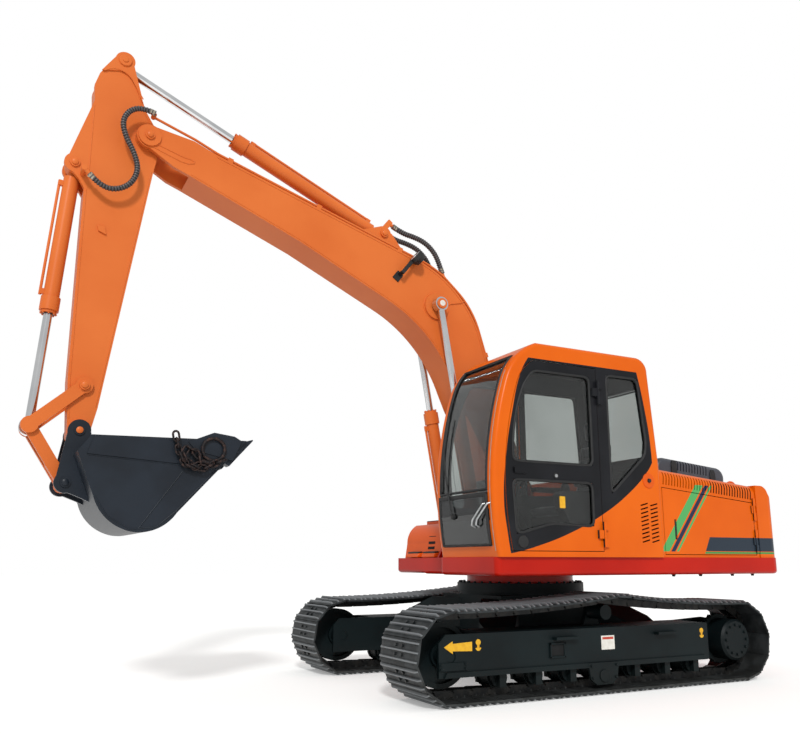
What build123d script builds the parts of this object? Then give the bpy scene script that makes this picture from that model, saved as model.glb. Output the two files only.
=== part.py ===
from build123d import *
import os
from math import atan2, cos, degrees, hypot, radians, sin, tan

# Frame: X forward, Y to the cab side, Z up, ground at Z 0
slew_x = -1100
pin_play = 0.3
seat_play = 0.3
ring_play = 0.9

# Undercarriage
wheel_base = 3000
track_gauge = 2000
shoe_width = 600
track_pitch_r = 300
lug_r = 350
shoe_plate_r = 330
link_top_r = 314
link_rail_r = 255
link_chain_width = 130
shoe_pitch = 171.5
carrier_x = -100
carrier_lift = 88
carrier_drop = 9
top_sag = 22
roller_r = 72
roller_flange = 12
roller_half = 125
roller_count = 7
roller_span = 2040
carrier_r = 62
idler_shaft_r = 45
sprocket_teeth = 21
frame_outer = 200
frame_inner = 175
frame_low = 222
frame_top = 510
frame_front = 1600
frame_back = -1160
fork_back = 1180
hub_r = 178
motor_r = 140
hub_reach = 215
carbody_low = 430
carbody_top = 745
carbody_half = 560
leg_spread = 780
leg_width = 300
ring_seat = 25
ring_outer_r = 600
ring_mid_r = 505
ring_inner_r = 415
ring_low_top = 850
deck_low = 930
deck_top = 1078

# Upper structure
deck_half = 1220
deck_front_left = 1080
deck_front_right = 690
deck_front_mid = 900
skirt_edge_r = 32
tail_side = -2170
tail_mid = -2330
tail_corner_r = 110
weight_front = -1930
weight_top = 1762
tail_lean = 230
body_inset = 20
hood_front = -680
hood_top = 1872
hood_fall = 110
hood_wall = 35
hood_edge_r = 90
door_gap = 6
slot_count = 33
slot_pitch = 35
slot_front = -752
slot_size = (13, 112)
bay_door_low = 1100
bay_door_below = 170
bay_door_front = -720
bay_door_back = -1890
bay_door_thick = 30
bay_hinge_proud = 11
knuckle_height = 70
lid_front = -320
lid_back = -1235
lid_left = 880
lid_right = -550
lid_height = 190
lid_corner_r = 105
lid_wall = 25
lid_margin = 62
cab_right = 345
cab_proud = 30
cab_floor = deck_top + seat_play
cab_roof = 2860
cab_front = 1122
cab_wall = 45
cab_rear = -672
cab_edge_r = 38
door_rear = 20
door_low = 1122
door_top = 2700
door_hinge_proud = 24
glass = 6
box_front = 610
box_back = 60
box_top = 1425
tank_front = 50
tank_back = -665
tank_top = 1600
middle_right = -350

# Working gear pins, from the slew axis
foot_x = 100
foot_z = 1680
boom_angle = 37.94
boom_length = 4603
boom_half = 170
boom_peak = (2283, 1023)
boom_shoulder = 471
boom_plate = 27
cheek_gap = 132
arm_angle = -81.84
arm_length = 2536
arm_half = 125
arm_tip_half = 105
boom_jack_x = 620
boom_jack_z = 1280
boom_jack_y = 250
boom_eye = (1786, 827)
arm_jack_back = 1992
arm_jack_lift = 134
arm_jack_eye = (-621, 321)
bucket_jack_base = (415, 496)
rocker_pin = (arm_length - 356, 35)
joint_pin = (arm_length + 18, 341)
link_pin = (arm_length + 396, 14)
bucket_angle = 181.4
bucket_half = 500
bucket_wall = 22
tooth_count = 5
pin_r = 38
pipe_r = 11
pipe_rise = 24
pipe_rows = (118, 150)
clamp_places = (0.06, 0.5, 0.94)
hose_d = 38
arm_hose_y = 215
arm_hose_port = (491, 420.4)
boom_hose_d = 44
boom_hose_y = 88
lamp_at = (2232, 1010)
lamp_r = 72
doubler = 12
band = 8

# Hydraulic cylinders: barrel and rod radius, half width of the eyes, travel from
# here to closed, and the rod left outside when closed
boom_jack = (60, 33, 36, 791, 92)
arm_jack = (66, 36, 45, 689, 297)
bucket_jack = (60, 33, 38, 696, 131)

# Routes of the hoses, in the arm's and the boom's side views
arm_hose_route = [
    (-189, 6),
    (-201, 105),
    (-138, 201),
    (-23, 236),
    (102, 185),
    (217, 89),
    (353, 26),
    (500, 57),
    (590, 164),
    (590, 279),
    (527, 369),
]
boom_hose_route = [
    (2590, 1170),
    (2478, 1195),
    (2372, 1262),
    (2250, 1312),
    (2120, 1308),
    (2020, 1262),
    (1930, 1205),
]

hood_half = deck_half - body_inset
side_right = body_inset / 4 - deck_half
cab_left = deck_half + cab_proud
cab_mid = (cab_left + cab_right) / 2
hood_length = hood_front - weight_front
roof_angle = degrees(atan2(hood_fall, hood_length))
boom_shoulder_z = 323
arm_jack_x = boom_length - arm_jack_back
boom_slope = (boom_shoulder_z - boom_peak[1]) / (boom_length - boom_shoulder - boom_peak[0])
arm_jack_base = (arm_jack_x, boom_peak[1] + boom_slope * (arm_jack_x - boom_peak[0]) + arm_jack_lift)


def side_plane(x=0, z=0, angle=0, y=0):
    """A plane of side views: its x runs along the angle in the X-Z plane."""
    return Plane(
        origin=(slew_x + x, y, z),
        x_dir=(cos(radians(angle)), 0, sin(radians(angle))),
        z_dir=(0, -1, 0),
    )


def turned(point, origin_x, origin_z, angle):
    """A point of a tilted side view in slew-axis X and Z."""
    c, s = cos(radians(angle)), sin(radians(angle))
    return origin_x + c * point[0] - s * point[1], origin_z + s * point[0] + c * point[1]


def seen_from(point, origin_x, origin_z, angle):
    """A point in slew-axis X and Z, as a tilted side view has it."""
    return turned((point[0] - origin_x, point[1] - origin_z), 0, 0, -angle)


def roof_z(x):
    """Height of the hood's falling roof."""
    return hood_top - hood_fall * (hood_front - x) / hood_length


bay_hinge_x = bay_door_back + door_gap / 2
bay_hinge_places = (bay_door_low + 130, bay_door_low + 430)
door_hinge_places = (1265, 2480)


def knuckle(x, y, z, leaf, inward):
    """A hinge's barrel on its pin line, with the leaf that carries it."""
    with Locations((slew_x + x, y, z)):
        Cylinder(10, knuckle_height)
    with Locations((slew_x + x + leaf / 2, y - inward / 2, z)):
        Box(abs(leaf), abs(inward), knuckle_height)


def save(item, label):
    item.part.label = label
    export_step(item.part, f"parts/{label}.step")


os.makedirs("parts", exist_ok=True)

boom_side = side_plane(foot_x, foot_z, boom_angle)
arm_x, arm_z = turned((boom_length, 0), foot_x, foot_z, boom_angle)
arm_side = side_plane(arm_x, arm_z, arm_angle)
bucket_x, bucket_z = turned((arm_length, 0), arm_x, arm_z, arm_angle)
bucket_side = side_plane(bucket_x, bucket_z, bucket_angle)
side = side_plane()
sides = [("left", 1), ("right", -1)]

# Tracks: one closed loop of triple-bar shoes on a link chain
axle_z = lug_r
front_x = wheel_base / 2
low_z = axle_z - track_pitch_r
high_z = axle_z + track_pitch_r
crown_z = high_z + carrier_lift
with BuildLine(side) as loop:
    Line((-front_x, low_z), (front_x, low_z))
    ThreePointArc((front_x, low_z), (front_x + track_pitch_r, axle_z), (front_x, high_z))
    front_mid = ((front_x + carrier_x) / 2, (high_z + crown_z) / 2 - top_sag)
    ThreePointArc((front_x, high_z), front_mid, (carrier_x, crown_z))
    back_mid = ((carrier_x - front_x) / 2, (high_z + crown_z) / 2 - top_sag)
    ThreePointArc((carrier_x, crown_z), back_mid, (-front_x, high_z))
    ThreePointArc((-front_x, high_z), (-front_x - track_pitch_r, axle_z), (-front_x, low_z))
path = loop.wire()
shoe_count = round(path.length / shoe_pitch)
bar_rise = lug_r - track_pitch_r
plate_rise = shoe_plate_r - track_pitch_r
chain_rise = link_top_r - track_pitch_r
chain_drop = track_pitch_r - link_rail_r


def around(rise, offsets):
    """Points beside the track's path: one for each offset in each shoe."""
    points = []
    for i in range(shoe_count):
        at = path @ ((i + 0.5) / shoe_count)
        along = path % ((i + 0.5) / shoe_count)
        for offset, height in offsets:
            x = at.X - slew_x + along.X * offset + along.Z * (rise + height)
            z = at.Z + along.Z * offset - along.X * (rise + height)
            points.append((x, z))
    return points


bar_places = (-0.38, 0, 0.38)
shoe_outline = []
for place in bar_places:
    middle = place * shoe_pitch
    shoe_outline += [(middle - 10, plate_rise), (middle - 5, bar_rise)]
    shoe_outline += [(middle + 5, bar_rise), (middle + 10, plate_rise)]
roller_z = low_z + chain_drop + seat_play + roller_r
carrier_z = crown_z - chain_drop - carrier_drop - carrier_r
tread_r = link_rail_r * cos(shoe_pitch / 2 / track_pitch_r) - 2
for name, sign in sides:
    middle_y = sign * track_gauge / 2
    lane = side_plane(y=middle_y)
    inner_face = lane.offset(sign * frame_outer)
    with BuildPart() as track:
        with BuildSketch(lane):
            with BuildLine():
                Polyline(*around(0, shoe_outline), close=True)
            make_face()
            with BuildLine():
                Polyline(*around(chain_rise, [(0, 0)]), close=True)
            make_face(mode=Mode.SUBTRACT)
        extrude(amount=shoe_width / 2, both=True)
        with BuildSketch(lane):
            with BuildLine():
                Polyline(*around(chain_rise, [(0, 0)]), close=True)
            make_face()
            with BuildLine():
                Polyline(*around(-chain_drop, [(0, 0)]), close=True)
            make_face(mode=Mode.SUBTRACT)
        extrude(amount=link_chain_width / 2, both=True)
    save(track, f"track_{name}")

    # Idler: dished wheel on a shaft that the frame's fork carries
    with BuildPart() as idler:
        with BuildSketch(lane):
            with Locations((front_x, axle_z)):
                Circle(tread_r)
        extrude(amount=60, both=True)
        for face in (60, -60):
            with BuildSketch(lane.offset(face)):
                with Locations((front_x, axle_z)):
                    Circle(tread_r - 38)
                    Circle(88, mode=Mode.SUBTRACT)
            extrude(amount=-35 if face > 0 else 35, mode=Mode.SUBTRACT)
        for radius, half in ((70, 120), (idler_shaft_r, frame_outer - 8)):
            with BuildSketch(lane):
                with Locations((front_x, axle_z)):
                    Circle(radius)
            extrude(amount=half, both=True)
    save(idler, f"idler_{name}")

    # Sprocket: toothed ring on the final drive's drum, with the motor inside the frame
    with BuildPart() as sprocket:
        with BuildSketch(lane):
            with Locations((-front_x, axle_z)):
                Circle(tread_r - 30)
                with PolarLocations(tread_r - 34, sprocket_teeth):
                    Trapezoid(42, 30, 62, rotation=-90)
        extrude(amount=24, both=True)
        for radius, reach in ((hub_r, -sign * hub_reach), (motor_r, sign * hub_reach)):
            with BuildSketch(lane):
                with Locations((-front_x, axle_z)):
                    Circle(radius)
            extrude(amount=reach)
        chamfer(sprocket.faces().sort_by(Axis.Y)[-1 if sign > 0 else 0].edges(), 18)
    save(sprocket, f"sprocket_{name}")

    # Rollers: seven flanged ones below, and one on top on the shaft of its bracket
    with BuildPart() as rollers:
        with BuildSketch(lane):
            with Locations((0, roller_z)):
                with GridLocations(roller_span / (roller_count - 1), 1, roller_count, 1):
                    Circle(roller_r)
        extrude(amount=roller_half, both=True)
        for face in (1, -1):
            with BuildSketch(lane.offset(face * (link_chain_width / 2 + 3))):
                with Locations((0, roller_z)):
                    with GridLocations(roller_span / (roller_count - 1), 1, roller_count, 1):
                        Circle(roller_r + roller_flange)
            extrude(amount=face * 14)
        with BuildSketch(lane):
            with Locations((carrier_x, carrier_z)):
                Circle(carrier_r)
        extrude(amount=90, both=True)
        with BuildSketch(lane.offset(sign * 88)):
            with Locations((carrier_x, carrier_z)):
                Circle(30)
        extrude(amount=sign * 66)
    save(rollers, f"rollers_{name}")

    # Track frame: box with the idler's fork in front and the drive's ring behind
    with BuildPart() as frame:
        with BuildSketch(lane):
            with BuildLine():
                Polyline(
                    (frame_back, frame_low),
                    (fork_back, frame_low),
                    (fork_back, frame_top),
                    (frame_back, frame_top),
                    close=True,
                )
            make_face()
        extrude(amount=frame_inner, both=True)
        for face, way in ((frame_outer, -1), (-frame_outer, 1)):
            with BuildSketch(lane.offset(face)):
                with BuildLine():
                    Polyline(
                        (frame_back, frame_low - 20),
                        (frame_front, frame_low - 20),
                        (frame_front, frame_top - 60),
                        (frame_front - 60, frame_top),
                        (frame_back, frame_top),
                        close=True,
                    )
                make_face()
                with Locations((front_x, axle_z)):
                    Circle(idler_shaft_r + seat_play, mode=Mode.SUBTRACT)
            extrude(amount=way * (frame_outer - frame_inner + 1))
        with BuildSketch(inner_face):
            with BuildLine():
                Polyline(
                    (frame_back + 10, frame_low),
                    (frame_back + 10, frame_top),
                    (-front_x, axle_z + hub_r),
                    (-front_x, axle_z - hub_r),
                    close=True,
                )
            make_face()
            with Locations((-front_x, axle_z)):
                Circle(hub_r)
                Circle(motor_r + seat_play, mode=Mode.SUBTRACT)
        extrude(amount=-sign * (frame_outer - frame_inner))
        with BuildSketch(lane):
            with Locations((0, roller_z)):
                with GridLocations(roller_span / (roller_count - 1), 1, roller_count, 1):
                    Rectangle(60, 130)
        extrude(amount=frame_inner, both=True)
        with BuildSketch(lane):
            with Locations((0, roller_z)):
                Rectangle(roller_span + 200, 180)
        extrude(amount=roller_half + seat_play, both=True, mode=Mode.SUBTRACT)
        with BuildSketch(lane.offset(sign * 100)):
            with BuildLine():
                Polyline(
                    (carrier_x - 90, frame_top - 2),
                    (carrier_x - 42, carrier_z),
                    (carrier_x + 42, carrier_z),
                    (carrier_x + 90, frame_top - 2),
                    close=True,
                )
            make_face()
            with Locations((carrier_x, carrier_z)):
                Circle(42)
                Circle(30 + seat_play, mode=Mode.SUBTRACT)
        extrude(amount=sign * 50)
        for x in (440, -640):
            with BuildSketch(lane.offset(-sign * frame_outer)):
                with Locations((x, frame_top - 66)):
                    Rectangle(230, 22)
            extrude(amount=-sign * 55)
        with BuildSketch(lane.offset(-sign * (frame_outer - 6))):
            with BuildLine():
                Polyline(
                    (frame_back + 40, frame_low - 20),
                    (frame_front - 40, frame_low - 20),
                    (frame_front - 60, frame_low + 18),
                    (frame_back + 60, frame_low + 18),
                    close=True,
                )
            make_face()
        extrude(amount=-sign * 24)
    save(frame, f"track_frame_{name}")

# Carbody: a box under the slewing ring, with four legs that fall to the track frames
with BuildPart() as carbody:
    frame_gap = track_gauge / 2 - frame_outer
    for forward in (1, -1):
        for sign in (1, -1):
            with BuildSketch(Plane.XY.offset(carbody_low)):
                with BuildLine():
                    Polyline(
                        (slew_x + forward * 120, sign * 200),
                        (slew_x + forward * carbody_half, sign * 200),
                        (slew_x + forward * (leg_spread + leg_width / 2), sign * (frame_gap - 90)),
                        (slew_x + forward * (leg_spread + leg_width / 2), sign * frame_gap),
                        (slew_x + forward * (leg_spread - leg_width / 2), sign * frame_gap),
                        close=True,
                    )
                make_face()
            extrude(amount=carbody_top - carbody_low)
    with BuildSketch(Plane.YZ.offset(slew_x)):
        with BuildLine():
            Polyline(
                (-frame_gap, carbody_low + 12),
                (frame_gap, carbody_low + 12),
                (frame_gap, frame_top - 12),
                (carbody_half - 130, carbody_top - 30),
                (130 - carbody_half, carbody_top - 30),
                (-frame_gap, frame_top - 12),
                close=True,
            )
        make_face()
    extrude(amount=leg_spread + leg_width, both=True, mode=Mode.INTERSECT)
    with BuildSketch(Plane.XY.offset(carbody_low)):
        with Locations((slew_x, 0)):
            Rectangle(2 * carbody_half, 2 * carbody_half - 120)
    extrude(amount=carbody_top - carbody_low)
    with BuildSketch(Plane.XY.offset(carbody_top)):
        with Locations((slew_x, 0)):
            Circle(ring_outer_r - 30)
    extrude(amount=ring_seat)
save(carbody, "carbody")

# Slewing ring: the fixed outer race, and the bolted joint that turns inside it
with BuildPart() as slew_ring:
    with BuildSketch(Plane.XY.offset(carbody_top + ring_seat)):
        with Locations((slew_x, 0)):
            Circle(ring_outer_r)
            Circle(ring_mid_r, mode=Mode.SUBTRACT)
    extrude(amount=ring_low_top - carbody_top - ring_seat)
save(slew_ring, "slew_ring")

# Upper frame: deck with rolled skirts, the turning race and the boom brackets
with BuildPart() as upper_frame:
    with BuildSketch(Plane.XY.offset(deck_low)):
        with BuildLine():
            Polyline(
                (slew_x + tail_side, deck_half),
                (slew_x + deck_front_left, deck_half),
                (slew_x + deck_front_left, cab_right),
                (slew_x + deck_front_mid, cab_right - 60),
                (slew_x + deck_front_mid, -cab_right + 60),
                (slew_x + deck_front_right, -cab_right),
                (slew_x + deck_front_right, -deck_half),
                (slew_x + tail_side, -deck_half),
            )
            ThreePointArc(
                (slew_x + tail_side, -deck_half),
                (slew_x + tail_mid, 0),
                (slew_x + tail_side, deck_half),
            )
        make_face()
    extrude(amount=deck_top - deck_low)
    fillet(upper_frame.edges().filter_by(Axis.Z).group_by(Axis.X)[0], tail_corner_r)
    fillet(upper_frame.edges().filter_by(Axis.Z).group_by(Axis.X)[-1], 50)
    fillet(upper_frame.faces().sort_by(Axis.Z)[0].edges(), skirt_edge_r)
    with BuildSketch(Plane.XY.offset(carbody_top + ring_seat + 10)):
        with Locations((slew_x, 0)):
            Circle(ring_mid_r - ring_play)
            Circle(ring_inner_r, mode=Mode.SUBTRACT)
    extrude(amount=deck_low - carbody_top - ring_seat - 10)
    for y in (boom_half + 8 + boom_plate, -boom_half - 8):
        with BuildSketch(side_plane(y=y)):
            with BuildLine():
                Polyline(
                    (-330, deck_top - 5),
                    (boom_jack_x + 180, deck_top - 5),
                    (boom_jack_x + 90, boom_jack_z - 30),
                    (boom_jack_x - 60, boom_jack_z + 50),
                    (foot_x + 150, foot_z - 120),
                    (foot_x + 90, foot_z + 80),
                    (foot_x - 90, foot_z + 80),
                    (foot_x - 130, foot_z - 60),
                    close=True,
                )
            make_face()
            with Locations((foot_x, foot_z)):
                Circle(112)
            with Locations((boom_jack_x, boom_jack_z)):
                Circle(80)
            with Locations((foot_x, foot_z), (boom_jack_x, boom_jack_z)):
                Circle(pin_r + pin_play, mode=Mode.SUBTRACT)
        extrude(amount=boom_plate)
save(upper_frame, "upper_frame")

# Counterweight: cast block that closes the tail, with two lifting sockets on top
with BuildPart() as counterweight:
    with BuildSketch(Plane.XY.offset(deck_top + seat_play)):
        with BuildLine():
            Polyline(
                (slew_x + tail_side, 10 - deck_half),
                (slew_x + weight_front, 10 - deck_half),
                (slew_x + weight_front, deck_half - 10),
                (slew_x + tail_side, deck_half - 10),
            )
            ThreePointArc(
                (slew_x + tail_side, deck_half - 10),
                (slew_x + tail_mid + 10, 0),
                (slew_x + tail_side, 10 - deck_half),
            )
        make_face()
    extrude(amount=weight_top - deck_top - seat_play)
    fillet(counterweight.edges().filter_by(Axis.Z).group_by(Axis.X)[0], tail_corner_r)
    with BuildSketch(side):
        with BuildLine():
            Line((weight_front, deck_top), (tail_mid - 5, deck_top))
            ThreePointArc(
                (tail_mid - 5, deck_top),
                (tail_mid + tail_lean * 0.28, (deck_top + weight_top) / 2 + 60),
                (tail_mid + tail_lean, weight_top - 70),
            )
            ThreePointArc(
                (tail_mid + tail_lean, weight_top - 70),
                (tail_mid + tail_lean + 38, weight_top - 20),
                (tail_mid + tail_lean + 110, weight_top),
            )
            Line((tail_mid + tail_lean + 110, weight_top), (weight_front, weight_top))
            Line((weight_front, weight_top), (weight_front, deck_top))
        make_face()
    extrude(amount=deck_half, both=True, mode=Mode.INTERSECT)
    with BuildSketch(Plane.XY.offset(weight_top)):
        with Locations((slew_x + weight_front - 70, 600), (slew_x + weight_front - 70, -600)):
            Circle(22)
    extrude(amount=-90, mode=Mode.SUBTRACT)
save(counterweight, "counterweight")

# Hood: one bent sheet whose roof falls towards the tail, open for doors and lid
hood_end = weight_front + 5
hood_reach = hood_front - hood_end
hood_run = hypot(hood_reach, hood_reach * hood_fall / hood_length)
fall = (-cos(radians(roof_angle)), 0, -sin(radians(roof_angle)))
roof_plane = side_plane(hood_front, hood_top, roof_angle)
lid_hinge_places = (lid_front - 230, lid_back + 230)
lid_pin_rise = 12
lid_knuckle = 70
lid_y = lid_right - lid_pin_rise - 2


def lid_pin_at(x):
    """A plane across the lid's pin line, at a distance along the roof."""
    at = roof_plane.offset(-lid_y).from_local_coords(Vector(x, lid_pin_rise, 0))
    return Plane(origin=at, x_dir=(0, 1, 0), z_dir=roof_plane.x_dir)


with BuildPart() as hood:
    for inset, foot, mode in ((0, deck_top, Mode.ADD), (hood_wall, deck_top - 200, Mode.SUBTRACT)):
        half = hood_half - inset
        top = roof_z(hood_front - inset) - inset
        with BuildSketch(Plane.YZ.offset(slew_x + hood_front - inset)):
            with BuildLine():
                FilletPolyline(
                    (-half, foot), (-half, top), (half, top), (half, foot), radius=hood_edge_r - inset
                )
                Line((half, foot), (-half, foot))
            make_face()
        extrude(amount=hood_run + inset, dir=fall, mode=mode)
    with BuildSketch(Plane.XY.offset(deck_top + seat_play)):
        with Locations((slew_x + (hood_front + hood_end) / 2, 0)):
            Rectangle(hood_reach + 200, 2 * hood_half + 100)
    extrude(amount=-400, mode=Mode.SUBTRACT)
    with BuildSketch(Plane.YZ.offset(slew_x + hood_end)):
        with Locations((0, hood_top)):
            Rectangle(2 * hood_half + 100, 3000)
    extrude(amount=-300, mode=Mode.SUBTRACT)
    with BuildSketch(side):
        with BuildLine():
            Polyline(
                (bay_door_front, bay_door_low),
                (bay_door_back, bay_door_low),
                (bay_door_back, roof_z(bay_door_back) - bay_door_below),
                (bay_door_front, roof_z(bay_door_front) - bay_door_below),
                close=True,
            )
        make_face()
    extrude(amount=hood_half + 10, both=True, mode=Mode.SUBTRACT)
    with BuildSketch(roof_plane.offset(lid_margin - lid_left)):
        with Locations(((lid_front + lid_back) / 2, 0)):
            Rectangle(lid_front - lid_back - 2 * lid_margin, 400)
    extrude(amount=lid_left - lid_right - 2 * lid_margin, mode=Mode.SUBTRACT)
    for way in (1, -1):
        with BuildSketch(side_plane(y=way * (hood_half + 5))):
            for i in range(slot_count):
                x = slot_front - i * slot_pitch
                with Locations((x, roof_z(x) - 88)):
                    Rectangle(*slot_size, rotation=8)
        extrude(amount=way * (hood_edge_r + 5), mode=Mode.SUBTRACT)
        for z in bay_hinge_places:
            for step in (-1, 1):
                place = z + step * (knuckle_height + seat_play)
                knuckle(bay_hinge_x, way * (hood_half + bay_hinge_proud), place, -30, way * 13)
    for x in lid_hinge_places:
        for step in (-1, 1):
            with Locations(lid_pin_at(x + step * (lid_knuckle + seat_play))):
                Cylinder(lid_pin_rise - 1, lid_knuckle)
                Box(20, lid_pin_rise + 6, lid_knuckle, align=(Align.CENTER, Align.MAX, Align.CENTER))
save(hood, "hood")

with BuildPart() as engine_block:
    with BuildSketch(Plane.XY.offset(deck_top + seat_play)):
        with Locations((slew_x + (hood_front + hood_end) / 2 - 100, 0)):
            RectangleRounded(620, 1050, 40)
    extrude(amount=560)
save(engine_block, "engine_block")

# Engine cover: domed lid on the roof, ribbed between its latches, hinged on the right
with BuildPart() as engine_cover:
    for inset, foot, mode in ((0, door_gap, Mode.ADD), (lid_wall, -60, Mode.SUBTRACT)):
        with BuildSketch(roof_plane.offset(inset - lid_left)):
            with BuildLine():
                FilletPolyline(
                    (lid_back + inset, foot),
                    (lid_back + inset, lid_height - inset),
                    (lid_front - inset, lid_height - inset),
                    (lid_front - inset, foot),
                    radius=lid_corner_r - inset,
                )
                Line((lid_front - inset, foot), (lid_back + inset, foot))
            make_face()
        extrude(amount=lid_left - lid_right - 2 * inset, mode=mode)
        if mode == Mode.ADD:
            fillet(engine_cover.faces().sort_by(Axis.Y)[-1].edges().sort_by(Axis.Z)[1:], 45)
    with BuildSketch(roof_plane.offset(-lid_left - 5)):
        with Locations(((lid_front + lid_back) / 2, lid_height - 55)):
            with GridLocations(38, 1, 11, 1):
                Rectangle(15, 100)
    extrude(amount=240, mode=Mode.SUBTRACT)
    for x in lid_hinge_places:
        with Locations(lid_pin_at(x)):
            Cylinder(lid_pin_rise - 1, lid_knuckle)
            Box(20, lid_pin_rise, lid_knuckle, align=(Align.MIN, Align.MIN, Align.CENTER))
save(engine_cover, "engine_cover")

# Side doors of the engine bay, hinged at the tail
for name, sign in sides:
    with BuildPart() as bay_door:
        with BuildSketch(side_plane(y=sign * hood_half)):
            with BuildLine():
                Polyline(
                    (bay_door_front - door_gap, bay_door_low + door_gap),
                    (bay_door_back + door_gap, bay_door_low + door_gap),
                    (bay_door_back + door_gap, roof_z(bay_door_back) - bay_door_below - door_gap),
                    (bay_door_front - door_gap, roof_z(bay_door_front) - bay_door_below - door_gap),
                    close=True,
                )
            make_face()
        extrude(amount=sign * bay_door_thick)
        with BuildSketch(side_plane(y=sign * hood_half)):
            with Locations((bay_door_front - 145, bay_door_low + 225)):
                Rectangle(26, 178)
        extrude(amount=sign * 14, mode=Mode.SUBTRACT)
        for z in bay_hinge_places:
            knuckle(bay_hinge_x, sign * (hood_half + bay_hinge_proud), z, 30, sign * 13)
    save(bay_door, f"side_door_{name}")

# Right side: tool box in front, fuel tank behind it
with BuildPart() as tool_box:
    with BuildSketch(side_plane(y=middle_right)):
        with BuildLine():
            Line((box_back, cab_floor), (box_front, cab_floor))
            Line((box_front, cab_floor), (box_front - 25, cab_floor + 150))
            ThreePointArc(
                (box_front - 25, cab_floor + 150),
                (box_front - 62, box_top - 70),
                (box_front - 140, box_top),
            )
            Line((box_front - 140, box_top), (box_back, box_top))
            Line((box_back, box_top), (box_back, cab_floor))
        make_face()
    extrude(amount=middle_right - side_right)
    fillet(tool_box.edges().filter_by(Axis.Y).sort_by(Axis.Z)[-2:], 20)
    with BuildSketch(Plane.XY.offset(box_top - 1)):
        with Locations((slew_x + box_back + 170, (middle_right + side_right) / 2)):
            RectangleRounded(300, middle_right - side_right - 80, 40)
    extrude(amount=43)
    with BuildSketch(Plane.YZ.offset(slew_x + box_front - 90)):
        with Locations((middle_right - 85, cab_floor + 235)):
            with GridLocations(1, 42, 1, 3):
                Rectangle(90, 22)
    extrude(amount=120, mode=Mode.SUBTRACT)
save(tool_box, "tool_box")

with BuildPart() as fuel_tank:
    with BuildSketch(Plane.XY.offset(deck_top + seat_play)):
        with Locations((slew_x + (tank_front + tank_back) / 2, (middle_right + side_right) / 2)):
            RectangleRounded(tank_front - tank_back, middle_right - side_right, 45)
    extrude(amount=tank_top - deck_top)
    fillet(fuel_tank.faces().sort_by(Axis.Z)[-1].edges(), 25)
    with BuildSketch(Plane.XY.offset(tank_top)):
        with Locations((slew_x + tank_front - 130, side_right + 180)):
            Circle(55)
    extrude(amount=45)
save(fuel_tank, "fuel_tank")

# Cab: side outline, door and windows, each drawn once
with BuildSketch() as cab_side:
    with BuildLine():
        Line((cab_rear, cab_floor), (cab_front - 52, cab_floor))
        front = ThreePointArc((cab_front - 52, cab_floor), (cab_front, 1620), (975, 2520))
        TangentArc((975, 2520), (640, cab_roof), tangent=front % 1)
        Line((640, cab_roof), (-470, cab_roof))
        ThreePointArc((-470, cab_roof), (-565, 2820), (-602, 2720))
        Line((-602, 2720), (cab_rear, 1880))
        Line((cab_rear, 1880), (cab_rear, cab_floor))
    make_face()
with BuildSketch() as door_side:
    with BuildLine():
        Line((door_rear, door_low), (948, door_low))
        front = ThreePointArc((948, door_low), (1004, 1620), (862, 2500))
        TangentArc((862, 2500), (690, door_top), tangent=front % 1)
        Line((690, door_top), (door_rear, door_top))
        Line((door_rear, door_top), (door_rear, door_low))
    make_face()
with BuildSketch() as door_panes:
    with BuildLine():
        Polyline((116, 1330), (560, 1345), (905, 1255), (932, 1690), (116, 1690), close=True)
    make_face()
    with BuildLine():
        Line((100, 1840), (918, 1840))
        ThreePointArc((918, 1840), (893, 2180), (795, 2480))
        Polyline((795, 2480), (700, 2610), (100, 2610), (100, 1840))
    make_face()
with BuildSketch() as quarter_pane:
    with BuildLine():
        Polyline((-95, 1610), (-500, 1960), (-520, 2080), (-455, 2650), (-95, 2650), close=True)
    make_face()
with BuildSketch() as right_panes:
    with BuildLine():
        Polyline((-540, 1560), (160, 1560), (160, 2640), (-470, 2640), close=True)
    make_face()
    with BuildLine():
        Line((230, 1500), (960, 1500))
        ThreePointArc((960, 1500), (958, 2060), (820, 2500))
        Polyline((820, 2500), (740, 2640), (230, 2640), (230, 1500))
    make_face()
front_panes = [
    # low and high edge of each windscreen
    (1160, 1375),
    (1440, 2745),
]
rear_low, rear_high = 1960, 2600
hatch_back, hatch_front = -250, 330
pillar = 78
vent_rows, vent_pitch = 10, 35
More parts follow.
